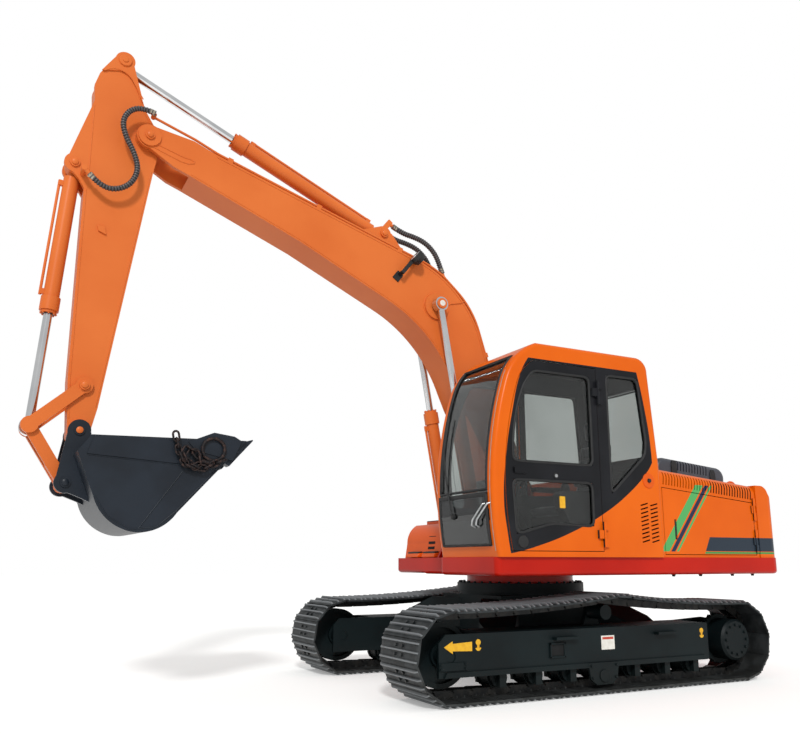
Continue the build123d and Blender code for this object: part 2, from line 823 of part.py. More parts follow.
with BuildPart() as cab:
    with BuildSketch(side_plane(y=cab_left)):
        add(cab_side.sketch)
    extrude(amount=cab_left - cab_right)
    walls = cab.faces().sort_by(Axis.Y)
    rims = [edge for wall in (walls[0], walls[-1]) for edge in wall.edges().sort_by(Axis.Z)[1:]]
    fillet(rims, cab_edge_r)
    with BuildSketch(side_plane(y=cab_left - cab_wall)):
        offset(cab_side.sketch, amount=-cab_wall, kind=Kind.INTERSECTION, mode=Mode.ADD)
    extrude(amount=cab_left - cab_right - 2 * cab_wall, mode=Mode.SUBTRACT)
    with BuildSketch(side_plane(y=cab_left + 5)):
        add(door_side.sketch)
        add(quarter_pane.sketch)
    extrude(amount=cab_wall + 10, mode=Mode.SUBTRACT)
    with BuildSketch(side_plane(y=cab_right - 5)):
        add(right_panes.sketch)
    extrude(amount=-cab_wall - 10, mode=Mode.SUBTRACT)
    with BuildSketch(Plane.YZ.offset(slew_x + 700)):
        for low, high in front_panes:
            with Locations((cab_mid, (low + high) / 2)):
                Rectangle(cab_left - cab_right - 2 * pillar, high - low)
    extrude(amount=500, mode=Mode.SUBTRACT)
    with BuildSketch(Plane.YZ.offset(slew_x + cab_rear - 50)):
        with Locations((cab_mid, (rear_low + rear_high) / 2)):
            Rectangle(cab_left - cab_right - 2 * pillar, rear_high - rear_low)
    extrude(amount=250, mode=Mode.SUBTRACT)
    with BuildSketch(Plane.XY.offset(cab_roof - cab_wall - 5)):
        with Locations((slew_x + (hatch_back + hatch_front) / 2, cab_mid)):
            Rectangle(hatch_front - hatch_back, cab_left - cab_right - 4 * pillar)
    extrude(amount=cab_wall + 10, mode=Mode.SUBTRACT)
    with BuildSketch(side_plane(y=cab_left + 5)):
        with Locations((-510, cab_floor + 295)):
            with GridLocations(112, vent_pitch, 2, vent_rows):
                Rectangle(88, 12, rotation=-14)
    extrude(amount=cab_wall + 10, mode=Mode.SUBTRACT)
    for z in door_hinge_places:
        for step in (-1, 1):
            place = z + step * (knuckle_height + seat_play)
            knuckle(door_rear + door_gap / 2, cab_left + door_hinge_proud, place, -45, door_hinge_proud + 4)
save(cab, "cab_shell")

with BuildPart() as cab_glass:
    with BuildSketch(side_plane(y=cab_left - pillar - seat_play)):
        offset(cab_side.sketch, amount=-10, kind=Kind.INTERSECTION, mode=Mode.ADD)
        offset(cab_side.sketch, amount=-10 - glass, kind=Kind.INTERSECTION, mode=Mode.SUBTRACT)
    extrude(amount=cab_left - cab_right - 2 * pillar - 2 * seat_play)
    with BuildSketch(Plane.YZ.offset(slew_x + 650)):
        for low, high in front_panes:
            with Locations((cab_mid, (low + high) / 2)):
                Rectangle(cab_left - cab_right, high - low - 2 * seat_play)
    extrude(amount=600, mode=Mode.INTERSECT)
    with BuildSketch(side_plane(y=cab_left - 18)):
        offset(quarter_pane.sketch, amount=-seat_play, mode=Mode.ADD)
    extrude(amount=glass)
    with BuildSketch(side_plane(y=cab_right + 18)):
        offset(right_panes.sketch, amount=-seat_play, mode=Mode.ADD)
    extrude(amount=-glass)
    with BuildSketch(Plane.XY.offset(cab_roof - 24)):
        with Locations((slew_x + (hatch_back + hatch_front) / 2, cab_mid)):
            Rectangle(
                hatch_front - hatch_back - 2 * seat_play,
                cab_left - cab_right - 4 * pillar - 2 * seat_play,
            )
    extrude(amount=glass)
save(cab_glass, "cab_glass")

with BuildPart() as rear_glass:
    with BuildSketch(side_plane(y=cab_left - pillar - seat_play)):
        offset(cab_side.sketch, amount=-10, kind=Kind.INTERSECTION, mode=Mode.ADD)
        offset(cab_side.sketch, amount=-10 - glass, kind=Kind.INTERSECTION, mode=Mode.SUBTRACT)
    extrude(amount=cab_left - cab_right - 2 * pillar - 2 * seat_play)
    with BuildSketch(Plane.YZ.offset(slew_x + cab_rear - 50)):
        with Locations((cab_mid, (rear_low + rear_high) / 2)):
            Rectangle(cab_left - cab_right, rear_high - rear_low - 2 * seat_play)
    extrude(amount=250, mode=Mode.INTERSECT)
save(rear_glass, "rear_glass")

# Cab door, hung on the pillar behind it
with BuildPart() as cab_door:
    with BuildSketch(side_plane(y=cab_left)):
        offset(door_side.sketch, amount=-door_gap, kind=Kind.INTERSECTION, mode=Mode.ADD)
        add(door_panes.sketch, mode=Mode.SUBTRACT)
    extrude(amount=cab_wall - 5)
    for z in door_hinge_places:
        knuckle(door_rear + door_gap / 2, cab_left + door_hinge_proud, z, 60, door_hinge_proud + 4)
    with BuildSketch(side_plane(y=cab_left - 1)):
        with Locations((860, 1765)):
            RectangleRounded(120, 52, 12)
    extrude(amount=-17)
save(cab_door, "cab_door")

with BuildPart() as door_glass:
    with BuildSketch(side_plane(y=cab_left - 14)):
        offset(door_panes.sketch, amount=-seat_play, mode=Mode.ADD)
    extrude(amount=glass)
save(door_glass, "door_glass")

# Operator's seat on its box, between the two consoles
inner_half = (cab_left - cab_right) / 2 - cab_wall
console_half = 52
seat_half = inner_half - 2 * console_half - 70
seat_x = 40
seat_foot = cab_floor + cab_wall + seat_play
with BuildPart() as seat_base:
    with BuildSketch(side_plane(y=cab_mid)):
        with BuildLine():
            Polyline(
                (seat_x - 200, seat_foot),
                (seat_x + 190, seat_foot),
                (seat_x + 230, seat_foot + 300),
                (seat_x - 230, seat_foot + 300),
                close=True,
            )
        make_face()
    extrude(amount=seat_half - 15, both=True)
save(seat_base, "seat_base")

with BuildPart() as seat_cushion:
    with BuildSketch(side_plane(y=cab_mid)):
        with BuildLine():
            FilletPolyline(
                (seat_x - 230, seat_foot + 300 + seat_play),
                (seat_x + 250, seat_foot + 300 + seat_play),
                (seat_x + 280, seat_foot + 400),
                (seat_x - 230, seat_foot + 385),
                close=True,
                radius=20,
            )
        make_face()
    extrude(amount=seat_half, both=True)
save(seat_cushion, "seat_cushion")

with BuildPart() as seat_back:
    with BuildSketch(side_plane(y=cab_mid)):
        with BuildLine():
            FilletPolyline(
                (seat_x - 230 - seat_play, seat_foot + 300),
                (seat_x - 230 - seat_play, seat_foot + 430),
                (seat_x - 330, seat_foot + 1010),
                (seat_x - 420, seat_foot + 990),
                (seat_x - 350, seat_foot + 300),
                close=True,
                radius=25,
            )
        make_face()
    extrude(amount=seat_half - 10, both=True)
save(seat_back, "seat_back")

for name, sign in sides:
    with BuildPart() as console:
        with BuildSketch(side_plane(y=cab_mid + sign * (seat_half + 20 + console_half))):
            with BuildLine():
                Polyline(
                    (seat_x - 240, seat_foot),
                    (seat_x + 120, seat_foot),
                    (seat_x + 330, seat_foot + 375),
                    (seat_x + 350, seat_foot + 470),
                    (seat_x + 310, seat_foot + 500),
                    (seat_x - 240, seat_foot + 520),
                    close=True,
                )
            make_face()
        extrude(amount=console_half, both=True)
        lever_y = cab_mid + sign * (seat_half + 20 + console_half)
        with Locations((slew_x + seat_x + 250, lever_y, seat_foot + 495)):
            Cylinder(12, 220, align=(Align.CENTER, Align.CENTER, Align.MIN))
    save(console, f"console_{name}")

# Travel levers with their pedals, on the floor in front of the seat
with BuildPart() as levers:
    for y in (cab_mid - 70, cab_mid + 70):
        with BuildSketch(side_plane(y=y + 45)):
            with BuildLine():
                Polyline(
                    (620, seat_foot),
                    (700, seat_foot),
                    (760, seat_foot + 110),
                    (640, seat_foot + 40),
                    close=True,
                )
            make_face()
        extrude(amount=90)
        with BuildSketch(side_plane(y=y + 10)):
            with BuildLine():
                Polyline(
                    (650, seat_foot + 10),
                    (680, seat_foot + 10),
                    (620, seat_foot + 560),
                    (530, seat_foot + 620),
                    (520, seat_foot + 600),
                    (595, seat_foot + 545),
                    close=True,
                )
            make_face()
        extrude(amount=20)
save(levers, "levers")

# Monitor on its post, by the right pillar
with BuildPart() as monitor:
    with Locations((slew_x + 690, cab_right + 115, seat_foot)):
        Cylinder(16, 520, align=(Align.CENTER, Align.CENTER, Align.MIN))
    with BuildSketch(side_plane(690, seat_foot + 560, -15, cab_right + 190)):
        RectangleRounded(40, 150, 12)
    extrude(amount=140)
save(monitor, "monitor")

# Boom: welded box bent upwards, with a forked tip
shoulder_x = boom_length - boom_shoulder
with BuildPart() as boom:
    with BuildSketch(boom_side):
        with BuildLine():
            Polyline((-90, 138), (850, 660), (1300, 975))
            ThreePointArc((1300, 975), (1750, 1115), boom_peak)
            Polyline(
                boom_peak,
                (shoulder_x, boom_shoulder_z),
                (boom_length - 263, 262),
                (boom_length + 37, 92),
                (boom_length + 37, -92),
                (boom_length - 137, -72),
                (boom_length - 303, -52),
                (boom_length - 427, -12),
                (boom_length - 1479, 290),
                (2188, 501),
            )
            ThreePointArc((2188, 501), (1640, 520), (1150, 340))
            Polyline((1150, 340), (988, 253), (90, -138), (-90, 138))
        make_face()
        Circle(165)
        with Locations((boom_length, 0)):
            Circle(105)
    extrude(amount=boom_half, both=True)
    with BuildSketch(boom_side):
        with Locations((boom_length - 60, 0)):
            Rectangle(760, 900)
    extrude(amount=cheek_gap, both=True, mode=Mode.SUBTRACT)
    with BuildSketch(boom_side):
        with Locations(boom_eye):
            Circle(128)
    extrude(amount=boom_half + 22, both=True)
    with BuildSketch(boom_side):
        with Locations((boom_length, 0)):
            Circle(92)
    extrude(amount=boom_half + 16, both=True)
    with BuildSketch(boom_side):
        with Locations((boom_length, 0)):
            Circle(100)
    extrude(amount=cheek_gap, both=True, mode=Mode.SUBTRACT)
    foot_x_base, foot_z_base = arm_jack_base
    for y in (75 + boom_plate - 2, -75):
        with BuildSketch(side_plane(foot_x, foot_z, boom_angle, y)):
            with BuildLine():
                Polyline(
                    (foot_x_base - 420, foot_z_base - 80),
                    (foot_x_base - 190, foot_z_base + 30),
                    (foot_x_base - 60, foot_z_base + 62),
                    (foot_x_base + 70, foot_z_base + 32),
                    (foot_x_base + 260, foot_z_base - 270),
                    (foot_x_base - 300, foot_z_base - 270),
                    close=True,
                )
            make_face()
            with Locations(arm_jack_base):
                Circle(75)
                Circle(pin_r + pin_play, mode=Mode.SUBTRACT)
        extrude(amount=boom_plate - 2)
    with BuildSketch(boom_side):
        Circle(pin_r + pin_play)
        with Locations((boom_length, 0)):
            Circle(pin_r + pin_play)
        with Locations(boom_eye):
            Circle(pin_r + pin_play)
    extrude(amount=boom_half + 50, both=True, mode=Mode.SUBTRACT)
    for y in (boom_hose_y, -boom_hose_y):
        with BuildSketch(side_plane(foot_x, foot_z, boom_angle, y)):
            with Locations((foot_x_base + 29, foot_z_base + 102)):
                Rectangle(50, 115)
        extrude(amount=12, both=True)
        with BuildSketch(side_plane(foot_x, foot_z, boom_angle, y)):
            with Locations((boom_hose_route[-1][0] - 40, 1138)):
                Rectangle(26, 110)
        extrude(amount=16, both=True)
        for end, beside in ((0, 1), (-1, -2)):
            at, near = (
                boom_side.from_local_coords(Vector(*boom_hose_route[i], -y)) for i in (end, beside)
            )
            with BuildSketch(Plane(origin=at, z_dir=at - near).offset(seat_play)):
                Circle(boom_hose_d / 2 - 4)
            extrude(amount=42)
save(boom, "boom")


def hose(plane, points, y, diameter, label):
    """A tube through a hose's points: runs joined by arcs as large as the runs allow."""
    corners = [Vector(*point, -y) for point in points]
    radii = []
    for before, corner, after in zip(corners, corners[1:], corners[2:]):
        turn = radians((corner - before).get_angle(after - corner))
        run = min((corner - before).length, (after - corner).length)
        radii.append(0.45 * run / tan(turn / 2))
    print(label, "radii in diameters:", [round(radius / diameter, 1) for radius in radii])
    with BuildPart() as tube:
        with BuildLine(plane) as line:
            FilletPolyline(*[tuple(corner) for corner in corners], radius=radii)
        path = line.wire()
        with BuildSketch(Plane(origin=path @ 0, z_dir=path % 0)):
            Circle(diameter / 2)
        sweep(path=path)
    save(tube, label)


for name, sign in sides:
    hose(boom_side, boom_hose_route, sign * boom_hose_y, boom_hose_d, f"boom_hose_{name}")
    hose(arm_side, arm_hose_route, sign * arm_hose_y, hose_d, f"arm_hose_{name}")

# Pipes on the boom's top plate with their clamps; the outer two feed the arm's hoses
hose_start = seen_from(turned(arm_hose_route[0], arm_x, arm_z, arm_angle), foot_x, foot_z, boom_angle)
top_slope = degrees(atan2(boom_slope, 1))
back_turn = degrees(atan2(975 - 660, 1300 - 850))
pipe_corners = [(1480, 1101), (2006, 1128)]


def lifted(point, angle, rise=pipe_rise):
    """A point of the boom's top outline, raised square to the plate."""
    return point[0] - sin(radians(angle)) * rise, point[1] + cos(radians(angle)) * rise


pipe_low = lifted((900, 695), back_turn)
pipe_tip = (boom_length - 258, 262 + pipe_rise + 4)
fitting_half = (arm_hose_y - hose_d / 2 - seat_play - pipe_rows[-1] + pipe_r) / 2
pipe_shoulder = lifted((shoulder_x, boom_shoulder_z), top_slope)


def boom_top(x):
    """A point on the line of the boom's front top plate."""
    return x, boom_peak[1] + boom_slope * (x - boom_peak[0])


with BuildPart() as boom_lines:
    for sign in (1, -1):
        for y in pipe_rows:
            corners = [pipe_low] + [lifted(corner, 0) for corner in pipe_corners]
            corners = [(*corner, -sign * y) for corner in corners]
            radii = [800, 800]
            if y == pipe_rows[-1]:
                corners += [(*end, -sign * y) for end in (pipe_shoulder, pipe_tip, hose_start)]
                radii += [200, 200]
            else:
                corners += [(*lifted(boom_top(3150), top_slope), -sign * y)]
            with BuildLine(boom_side) as line:
                FilletPolyline(*corners, radius=radii)
            pipe = line.wire()
            with BuildSketch(Plane(origin=pipe @ 0, z_dir=pipe % 0)):
                Circle(pipe_r)
            sweep(path=pipe)
        row_mid = sum(pipe_rows) / 2
        for share in clamp_places:
            place = boom_top(boom_peak[0] + share * (shoulder_x - boom_peak[0]))
            with BuildSketch(side_plane(foot_x, foot_z, boom_angle, sign * row_mid)):
                with Locations(Location(lifted(place, top_slope, 20 + seat_play), top_slope)):
                    Rectangle(46, 40)
            extrude(amount=31, both=True)
        with BuildSketch(side_plane(foot_x, foot_z, boom_angle, sign * row_mid)):
            with Locations(Location(lifted((1100, 835), back_turn, 20 + seat_play), back_turn)):
                Rectangle(46, 40)
        extrude(amount=31, both=True)
        fitting_y = sign * (pipe_rows[-1] - pipe_r + fitting_half)
        with BuildSketch(side_plane(foot_x, foot_z, boom_angle, fitting_y)):
            with Locations(hose_start):
                Circle(20)
        extrude(amount=fitting_half, both=True)
save(boom_lines, "boom_lines")

# Work lamp on the boom's left side, on a bent bracket
lamp_y = boom_half + lamp_r + 10
with BuildPart() as work_lamp:
    with BuildSketch(side_plane(foot_x, foot_z, boom_angle, boom_half + seat_play)):
        with Locations((lamp_at[0] + 25, lamp_at[1] - 250)):
            Rectangle(70, 90)
    extrude(amount=-10)
    with BuildSketch(side_plane(foot_x, foot_z, boom_angle, boom_half + 5)):
        with Locations((lamp_at[0] + 25, lamp_at[1] - 225)):
            Rectangle(36, 16)
    extrude(amount=boom_half - lamp_y)
    with BuildSketch(side_plane(foot_x, foot_z, boom_angle, lamp_y)):
        with Locations((lamp_at[0] + 25, lamp_at[1] - 150)):
            Rectangle(36, 166)
    extrude(amount=5, both=True)
    lamp_plane = Plane(
        origin=side_plane(foot_x, foot_z, boom_angle, lamp_y).from_local_coords(Vector(*lamp_at, 0)),
        x_dir=(0, 1, 0),
        z_dir=boom_side.x_dir,
    )
    with BuildSketch(lamp_plane.offset(-45)):
        Circle(lamp_r - 26)
    with BuildSketch(lamp_plane):
        Circle(lamp_r)
    loft()
    with BuildSketch(lamp_plane):
        Circle(lamp_r)
    extrude(amount=34)
save(work_lamp, "work_lamp")

# Arm: tapered box with its tail lugs and the bracket of the bucket cylinder
with BuildPart() as arm:
    with BuildSketch(arm_side):
        with BuildLine():
            Polyline(
                (-640, 395),
                (-431, 486),
                (-314, 503),
                (-172, 472),
                (380, 555),
                (450, 556),
                (534, 445),
                (604, 386),
                (arm_length - 381, 162),
                (arm_length + 4, 80),
                (arm_length + 4, -80),
                (arm_length - 208, -96),
                (276, -97),
                (60, -105),
                (-100, -50),
                (-247, 74),
                (-345, 126),
                (-600, 243),
                close=True,
            )
        make_face()
        with Locations(arm_jack_eye, bucket_jack_base):
            Circle(80)
        with Locations((arm_length, 0)):
            Circle(82)
        Circle(108)
    extrude(amount=arm_tip_half, both=True)
    with BuildSketch(arm_side):
        Circle(108)
    extrude(amount=arm_half, both=True)
    with BuildSketch(arm_side):
        with Locations((arm_length, 0)):
            Circle(78)
    extrude(amount=157, both=True)
    with BuildSketch(arm_side):
        with Locations((arm_jack_eye[0] - 20, arm_jack_eye[1] + 20)):
            Rectangle(700, 700)
    extrude(amount=52, both=True, mode=Mode.SUBTRACT)
    with BuildSketch(arm_side):
        with Locations((bucket_jack_base[0] + 60, bucket_jack_base[1] + 40)):
            Rectangle(420, 300)
    extrude(amount=66, both=True, mode=Mode.SUBTRACT)
    with BuildSketch(arm_side):
        Circle(pin_r + pin_play)
        with Locations((arm_length, 0), rocker_pin, bucket_jack_base, arm_jack_eye):
            Circle(pin_r + pin_play)
    extrude(amount=200, both=True, mode=Mode.SUBTRACT)
    stub_x, stub_z = arm_hose_route[-1]
    stub_turn = degrees(atan2(arm_hose_port[1] - stub_z, arm_hose_port[0] - stub_x))
    stub_run = hypot(arm_hose_port[0] - stub_x, arm_hose_port[1] - stub_z)
    for sign in (1, -1):
        with BuildSketch(arm_side.offset(-sign * (arm_tip_half - 1))):
            with Locations(arm_hose_port):
                Circle(22)
        extrude(amount=-sign * (arm_hose_y + 19 - arm_tip_half))
        at = arm_side.offset(-sign * arm_hose_y).from_local_coords(Vector(stub_x, stub_z, 0))
        way = Vector(cos(radians(stub_turn)), sin(radians(stub_turn)), 0)
        way = arm_side.from_local_coords(way) - arm_side.origin
        with BuildSketch(Plane(origin=at, z_dir=way).offset(seat_play)):
            Circle(17)
        extrude(amount=stub_run)
        with BuildSketch(arm_side.offset(-sign * (arm_tip_half - 1))):
            with BuildLine():
                Polyline(
                    (-461, 478), (-524, 320), (-480, 232), (-300, 112), (-345, 126), (-600, 243), (-640, 395),
                    close=True,
                )
            make_face()
            with Locations(arm_jack_eye):
                Circle(80)
                Circle(pin_r + pin_play, mode=Mode.SUBTRACT)
        extrude(amount=-sign * (doubler + 1))
save(arm, "arm")


def jack(y, start, end, size, label, pipe_side=1):
    """A hydraulic cylinder between two points of a side view: its barrel and its rod."""
    barrel_r, rod_r, eye_half, travel, left_out = size
    length = hypot(end[0] - start[0], end[1] - start[1])
    turn = degrees(atan2(end[1] - start[1], end[0] - start[0]))
    along = side_plane(start[0], start[1], turn, y)
    axis_plane = Plane(origin=along.origin, x_dir=along.z_dir, z_dir=along.x_dir)
    eye_r = eye_half + 30
    barrel_length = length - travel - eye_r - left_out
    bore_start = eye_r + 50
    rod_start = bore_start + travel + 10
    with BuildPart() as barrel:
        with BuildSketch(axis_plane.offset(eye_half + 10)):
            Circle(eye_half)
        extrude(amount=60)
        with BuildSketch(axis_plane.offset(eye_half + 62)):
            Circle(barrel_r)
        extrude(amount=barrel_length - eye_half - 62)
        with BuildSketch(axis_plane.offset(barrel_length - 130)):
            Circle(barrel_r + 12)
        extrude(amount=110)
        with BuildSketch(along):
            Circle(eye_r)
        extrude(amount=eye_half, both=True)
        pipe_at = (0, -pipe_side * (barrel_r + 24))
        with BuildSketch(axis_plane.offset(2 * eye_r)):
            with Locations(pipe_at):
                Circle(pipe_r)
        extrude(amount=barrel_length - 2 * eye_r - 140)
        for place in (2 * eye_r, barrel_length - 190):
            with BuildSketch(axis_plane.offset(place)):
                with Locations((0, pipe_at[1] + pipe_side * 16)):
                    Rectangle(32, 44)
            extrude(amount=44)
        with BuildSketch(axis_plane.offset(bore_start)):
            Circle(rod_r + 1)
        extrude(amount=barrel_length - bore_start + 1, mode=Mode.SUBTRACT)
        with BuildSketch(axis_plane.offset(barrel_length - 60)):
            Circle(rod_r + 2)
            Circle(rod_r + pin_play, mode=Mode.SUBTRACT)
        extrude(amount=60)
        with BuildSketch(along):
            Circle(pin_r + pin_play)
        extrude(amount=eye_half + 5, both=True, mode=Mode.SUBTRACT)
    save(barrel, f"{label}_barrel")
    with BuildPart() as rod:
        with BuildSketch(axis_plane.offset(rod_start)):
            Circle(rod_r)
        extrude(amount=length - rod_start - 50)
        with BuildSketch(along):
            with Locations((length, 0)):
                Circle(eye_r)
        extrude(amount=eye_half, both=True)
        with BuildSketch(along):
            with Locations((length, 0)):
                Circle(pin_r + pin_play)
        extrude(amount=eye_half + 5, both=True, mode=Mode.SUBTRACT)
    save(rod, f"{label}_rod")


boom_eye_world = turned(boom_eye, foot_x, foot_z, boom_angle)
boom_jack_world = (boom_jack_x, boom_jack_z)
for name, sign in sides:
    label = f"boom_cylinder_{name}"
    jack(sign * boom_jack_y, boom_jack_world, boom_eye_world, boom_jack, label, pipe_side=-1)
tail_world = turned(arm_jack_eye, arm_x, arm_z, arm_angle)
base_world = turned(arm_jack_base, foot_x, foot_z, boom_angle)
jack(0, base_world, tail_world, arm_jack, "arm_cylinder")
bucket_base_world = turned(bucket_jack_base, arm_x, arm_z, arm_angle)
joint_world = turned(joint_pin, arm_x, arm_z, arm_angle)
jack(0, bucket_base_world, joint_world, bucket_jack, "bucket_cylinder")

# Rocker and link of the bucket
rocker_world = turned(rocker_pin, arm_x, arm_z, arm_angle)
link_world = turned(link_pin, arm_x, arm_z, arm_angle)


def between(a, b, share):
    """The point at a share of the way from one pin to another."""
    return a[0] + share * (b[0] - a[0]), a[1] + share * (b[1] - a[1])


def bar_outline(a, b, width):
    """Outline of a straight bar between two pins."""
    turn = atan2(b[1] - a[1], b[0] - a[0])
    nx, nz = -sin(turn) * width, cos(turn) * width
    return [
        (a[0] + nx, a[1] + nz),
        (b[0] + nx, b[1] + nz),
        (b[0] - nx, b[1] - nz),
        (a[0] - nx, a[1] - nz),
    ]


with BuildPart() as rocker:
    for y in (-137, 112):
        with BuildSketch(side_plane(y=y + 25)):
            with BuildLine():
                Polyline(*bar_outline(rocker_world, joint_world, 48), close=True)
            make_face()
            with Locations(rocker_world, joint_world):
                Circle(62)
            with Locations(rocker_world):
                Circle(pin_r + pin_play, mode=Mode.SUBTRACT)
        extrude(amount=25)
save(rocker, "rocker")

with BuildPart() as bucket_link:
    for y in (-104, 56):
        with BuildSketch(side_plane(y=y + 48)):
            with BuildLine():
                Polyline(*bar_outline(joint_world, link_world, 45), close=True)
            make_face()
            with Locations(joint_world, link_world):
                Circle(58)
        extrude(amount=48)
    with BuildSketch(side):
        with Locations(link_world):
            Circle(54)
    extrude(amount=157, both=True)
    with BuildSketch(side):
        with BuildLine():
            web_low = between(joint_world, link_world, 0.9)
            web_high = between(joint_world, link_world, 0.62)
            Polyline(*bar_outline(web_high, web_low, 40), close=True)
        make_face()
    extrude(amount=60, both=True)
    with BuildSketch(side):
        with Locations(link_world):
            Circle(pin_r + pin_play)
    extrude(amount=160, both=True, mode=Mode.SUBTRACT)
save(bucket_link, "bucket_link")

# Bucket: rolled shell with side plates, ears, cutters and teeth
link_in_bucket = seen_from(link_world, bucket_x, bucket_z, bucket_angle)
with BuildPart() as bucket:
    with BuildSketch(bucket_side):
        with BuildLine():
            Polyline((1190, 10), (60, 66), (-25, 190), (108, 500))
            ThreePointArc((108, 500), (205, 650), (380, 738))
            ThreePointArc((380, 738), (570, 710), (700, 590))
            Line((700, 590), (1190, 10))
        make_face()
    extrude(amount=bucket_half, both=True)
    with BuildSketch(bucket_side):
        with BuildLine():
            Polyline((1230, -60), (60, 66), (-25, 190), (108, 500))
            ThreePointArc((108, 500), (205, 650), (380, 738))
            ThreePointArc((380, 738), (570, 710), (700, 590))
            Polyline((700, 590), (1250, -60), (1230, -60))
        make_face()
        offset(amount=-20, kind=Kind.INTERSECTION)
    extrude(amount=bucket_half - bucket_wall, both=True, mode=Mode.SUBTRACT)
    for y in (-163, 203):
        with BuildSketch(side_plane(bucket_x, bucket_z, bucket_angle, y)):
            with BuildLine():
                Polyline(
                    (-40, -70),
                    (60, -60),
                    (100, 62),
                    (150, 540),
                    (60, 500),
                    (-110, 440),
                    (-125, 350),
                    (-80, 20),
                    close=True,
                )
            make_face()
            Circle(82)
            with Locations(link_in_bucket):
                Circle(78)
            with BuildLine():
                Polyline((84, 90), (0, 190), (130, 495), (200, 600), (300, 400), close=True)
            make_face(mode=Mode.SUBTRACT)
            Circle(pin_r + pin_play, mode=Mode.SUBTRACT)
            with Locations(link_in_bucket):
                Circle(pin_r + pin_play, mode=Mode.SUBTRACT)
        extrude(amount=40)
    for way in (1, -1):
        with BuildSketch(bucket_side.offset(way * bucket_half)):
            with BuildLine():
                Polyline((740, 60), (930, -28), (1090, -12), (1150, 20), (1086, 175), (800, 120), close=True)
            make_face()
        extrude(amount=way * 16)
        with BuildSketch(bucket_side.offset(way * (bucket_half - 1))):
            with BuildLine():
                Polyline((80, 70), (1145, 16), (990, 238), (40, 205), close=True)
            make_face()
        extrude(amount=way * (band + 1))
    for i in range(tooth_count):
        y = bucket_half * (0.88 - 1.76 * i / (tooth_count - 1))
        for half, outline in (
            (45, [(1030, 195), (1130, 40), (1190, 22), (1160, 105), (1070, 215)]),
            (31, [(1120, 80), (1180, 14), (1248, -8), (1248, 3), (1150, 120)]),
        ):
            with BuildSketch(side_plane(bucket_x, bucket_z, bucket_angle, y + half)):
                with BuildLine():
                    Polyline(*outline, close=True)
                make_face()
            extrude(amount=2 * half)
save(bucket, "bucket")

# Pins of the working gear
pin_table = [
    # label, place, half length
    ("boom_foot_pin", (foot_x, foot_z), 240),
    ("boom_base_pin", boom_jack_world, 295),
    ("arm_pin", (arm_x, arm_z), 200),
    ("bucket_pin", (bucket_x, bucket_z), 215),
    ("link_pin", link_world, 215),
    ("rocker_pin", rocker_world, 160),
    ("arm_cylinder_pin", base_world, 120),
    ("bucket_cylinder_pin", bucket_base_world, 120),
]
for label, place, half in pin_table:
    with BuildPart() as pin:
        with BuildSketch(side):
            with Locations(place):
                Circle(pin_r)
        extrude(amount=half, both=True)
    save(pin, label)
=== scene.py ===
import math
import bmesh
import bpy
from mathutils import Matrix, Vector


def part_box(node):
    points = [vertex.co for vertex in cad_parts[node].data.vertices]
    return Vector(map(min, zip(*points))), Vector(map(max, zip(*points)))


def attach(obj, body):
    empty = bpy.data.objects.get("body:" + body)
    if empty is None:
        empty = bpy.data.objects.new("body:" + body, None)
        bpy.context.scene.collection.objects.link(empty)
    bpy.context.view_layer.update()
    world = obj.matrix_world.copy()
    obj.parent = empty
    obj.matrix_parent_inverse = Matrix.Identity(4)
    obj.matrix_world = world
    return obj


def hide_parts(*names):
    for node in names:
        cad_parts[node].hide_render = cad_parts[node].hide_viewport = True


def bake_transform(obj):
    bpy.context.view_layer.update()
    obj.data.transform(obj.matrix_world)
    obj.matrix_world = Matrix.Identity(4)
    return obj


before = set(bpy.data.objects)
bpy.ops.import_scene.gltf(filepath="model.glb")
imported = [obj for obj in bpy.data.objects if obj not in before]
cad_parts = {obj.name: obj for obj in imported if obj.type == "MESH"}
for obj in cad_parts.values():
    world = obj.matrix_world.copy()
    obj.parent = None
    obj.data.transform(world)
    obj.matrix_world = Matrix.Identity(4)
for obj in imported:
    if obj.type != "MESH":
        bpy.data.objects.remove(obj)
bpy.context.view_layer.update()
slew_x = -1.1


# Track frames, carrying beams and turning joint.
# Welded steel boxes in a blue-black chassis paint, sprayed on after welding. The lower
# faces hold a thin film of dried dust from the ground.
def linear(code, alpha=1.0):
    """An sRGB hex colour as the linear values that Blender takes."""
    parts = [int(code[i:i + 2], 16) / 255 for i in (1, 3, 5)]
    return [c / 12.92 if c <= 0.04045 else ((c + 0.055) / 1.055) ** 2.4 for c in parts] + [alpha]


def node(tree, kind, sockets=None, **settings):
    """One node with its settings, and with its sockets set to values or linked from others."""
    made = tree.nodes.new(kind)
    for name, value in settings.items():
        setattr(made, name, value)
    for name, value in (sockets or {}).items():
        if isinstance(value, bpy.types.NodeSocket):
            tree.links.new(value, made.inputs[name])
        else:
            made.inputs[name].default_value = value
    return made


def finish_material(name, roughness, **shader):
    """A new material: its shader with plain values, its node tree and its object coordinates."""
    material = bpy.data.materials.new(name)
    material.use_nodes = True
    tree = material.node_tree
    tree.nodes.clear()
    surface = node(tree, "ShaderNodeBsdfPrincipled", {"Roughness": roughness})
    for socket, value in shader.items():
        surface.inputs[socket.replace("_", " ")].default_value = value
    node(tree, "ShaderNodeOutputMaterial", {"Surface": surface.outputs["BSDF"]})
    place = node(tree, "ShaderNodeTexCoord").outputs["Object"]
    return material, tree, surface, place


def grain(tree, surface, place, size, depth, strength=0.5):
    """Bump of a fine surface texture: its size and depth in metres."""
    noise = node(tree, "ShaderNodeTexNoise", {"Vector": place, "Scale": 1 / size, "Detail": 3.0})
    bump = node(tree, "ShaderNodeBump",
                {"Height": noise.outputs["Fac"], "Distance": depth, "Strength": strength})
    tree.links.new(bump.outputs["Normal"], surface.inputs["Normal"])


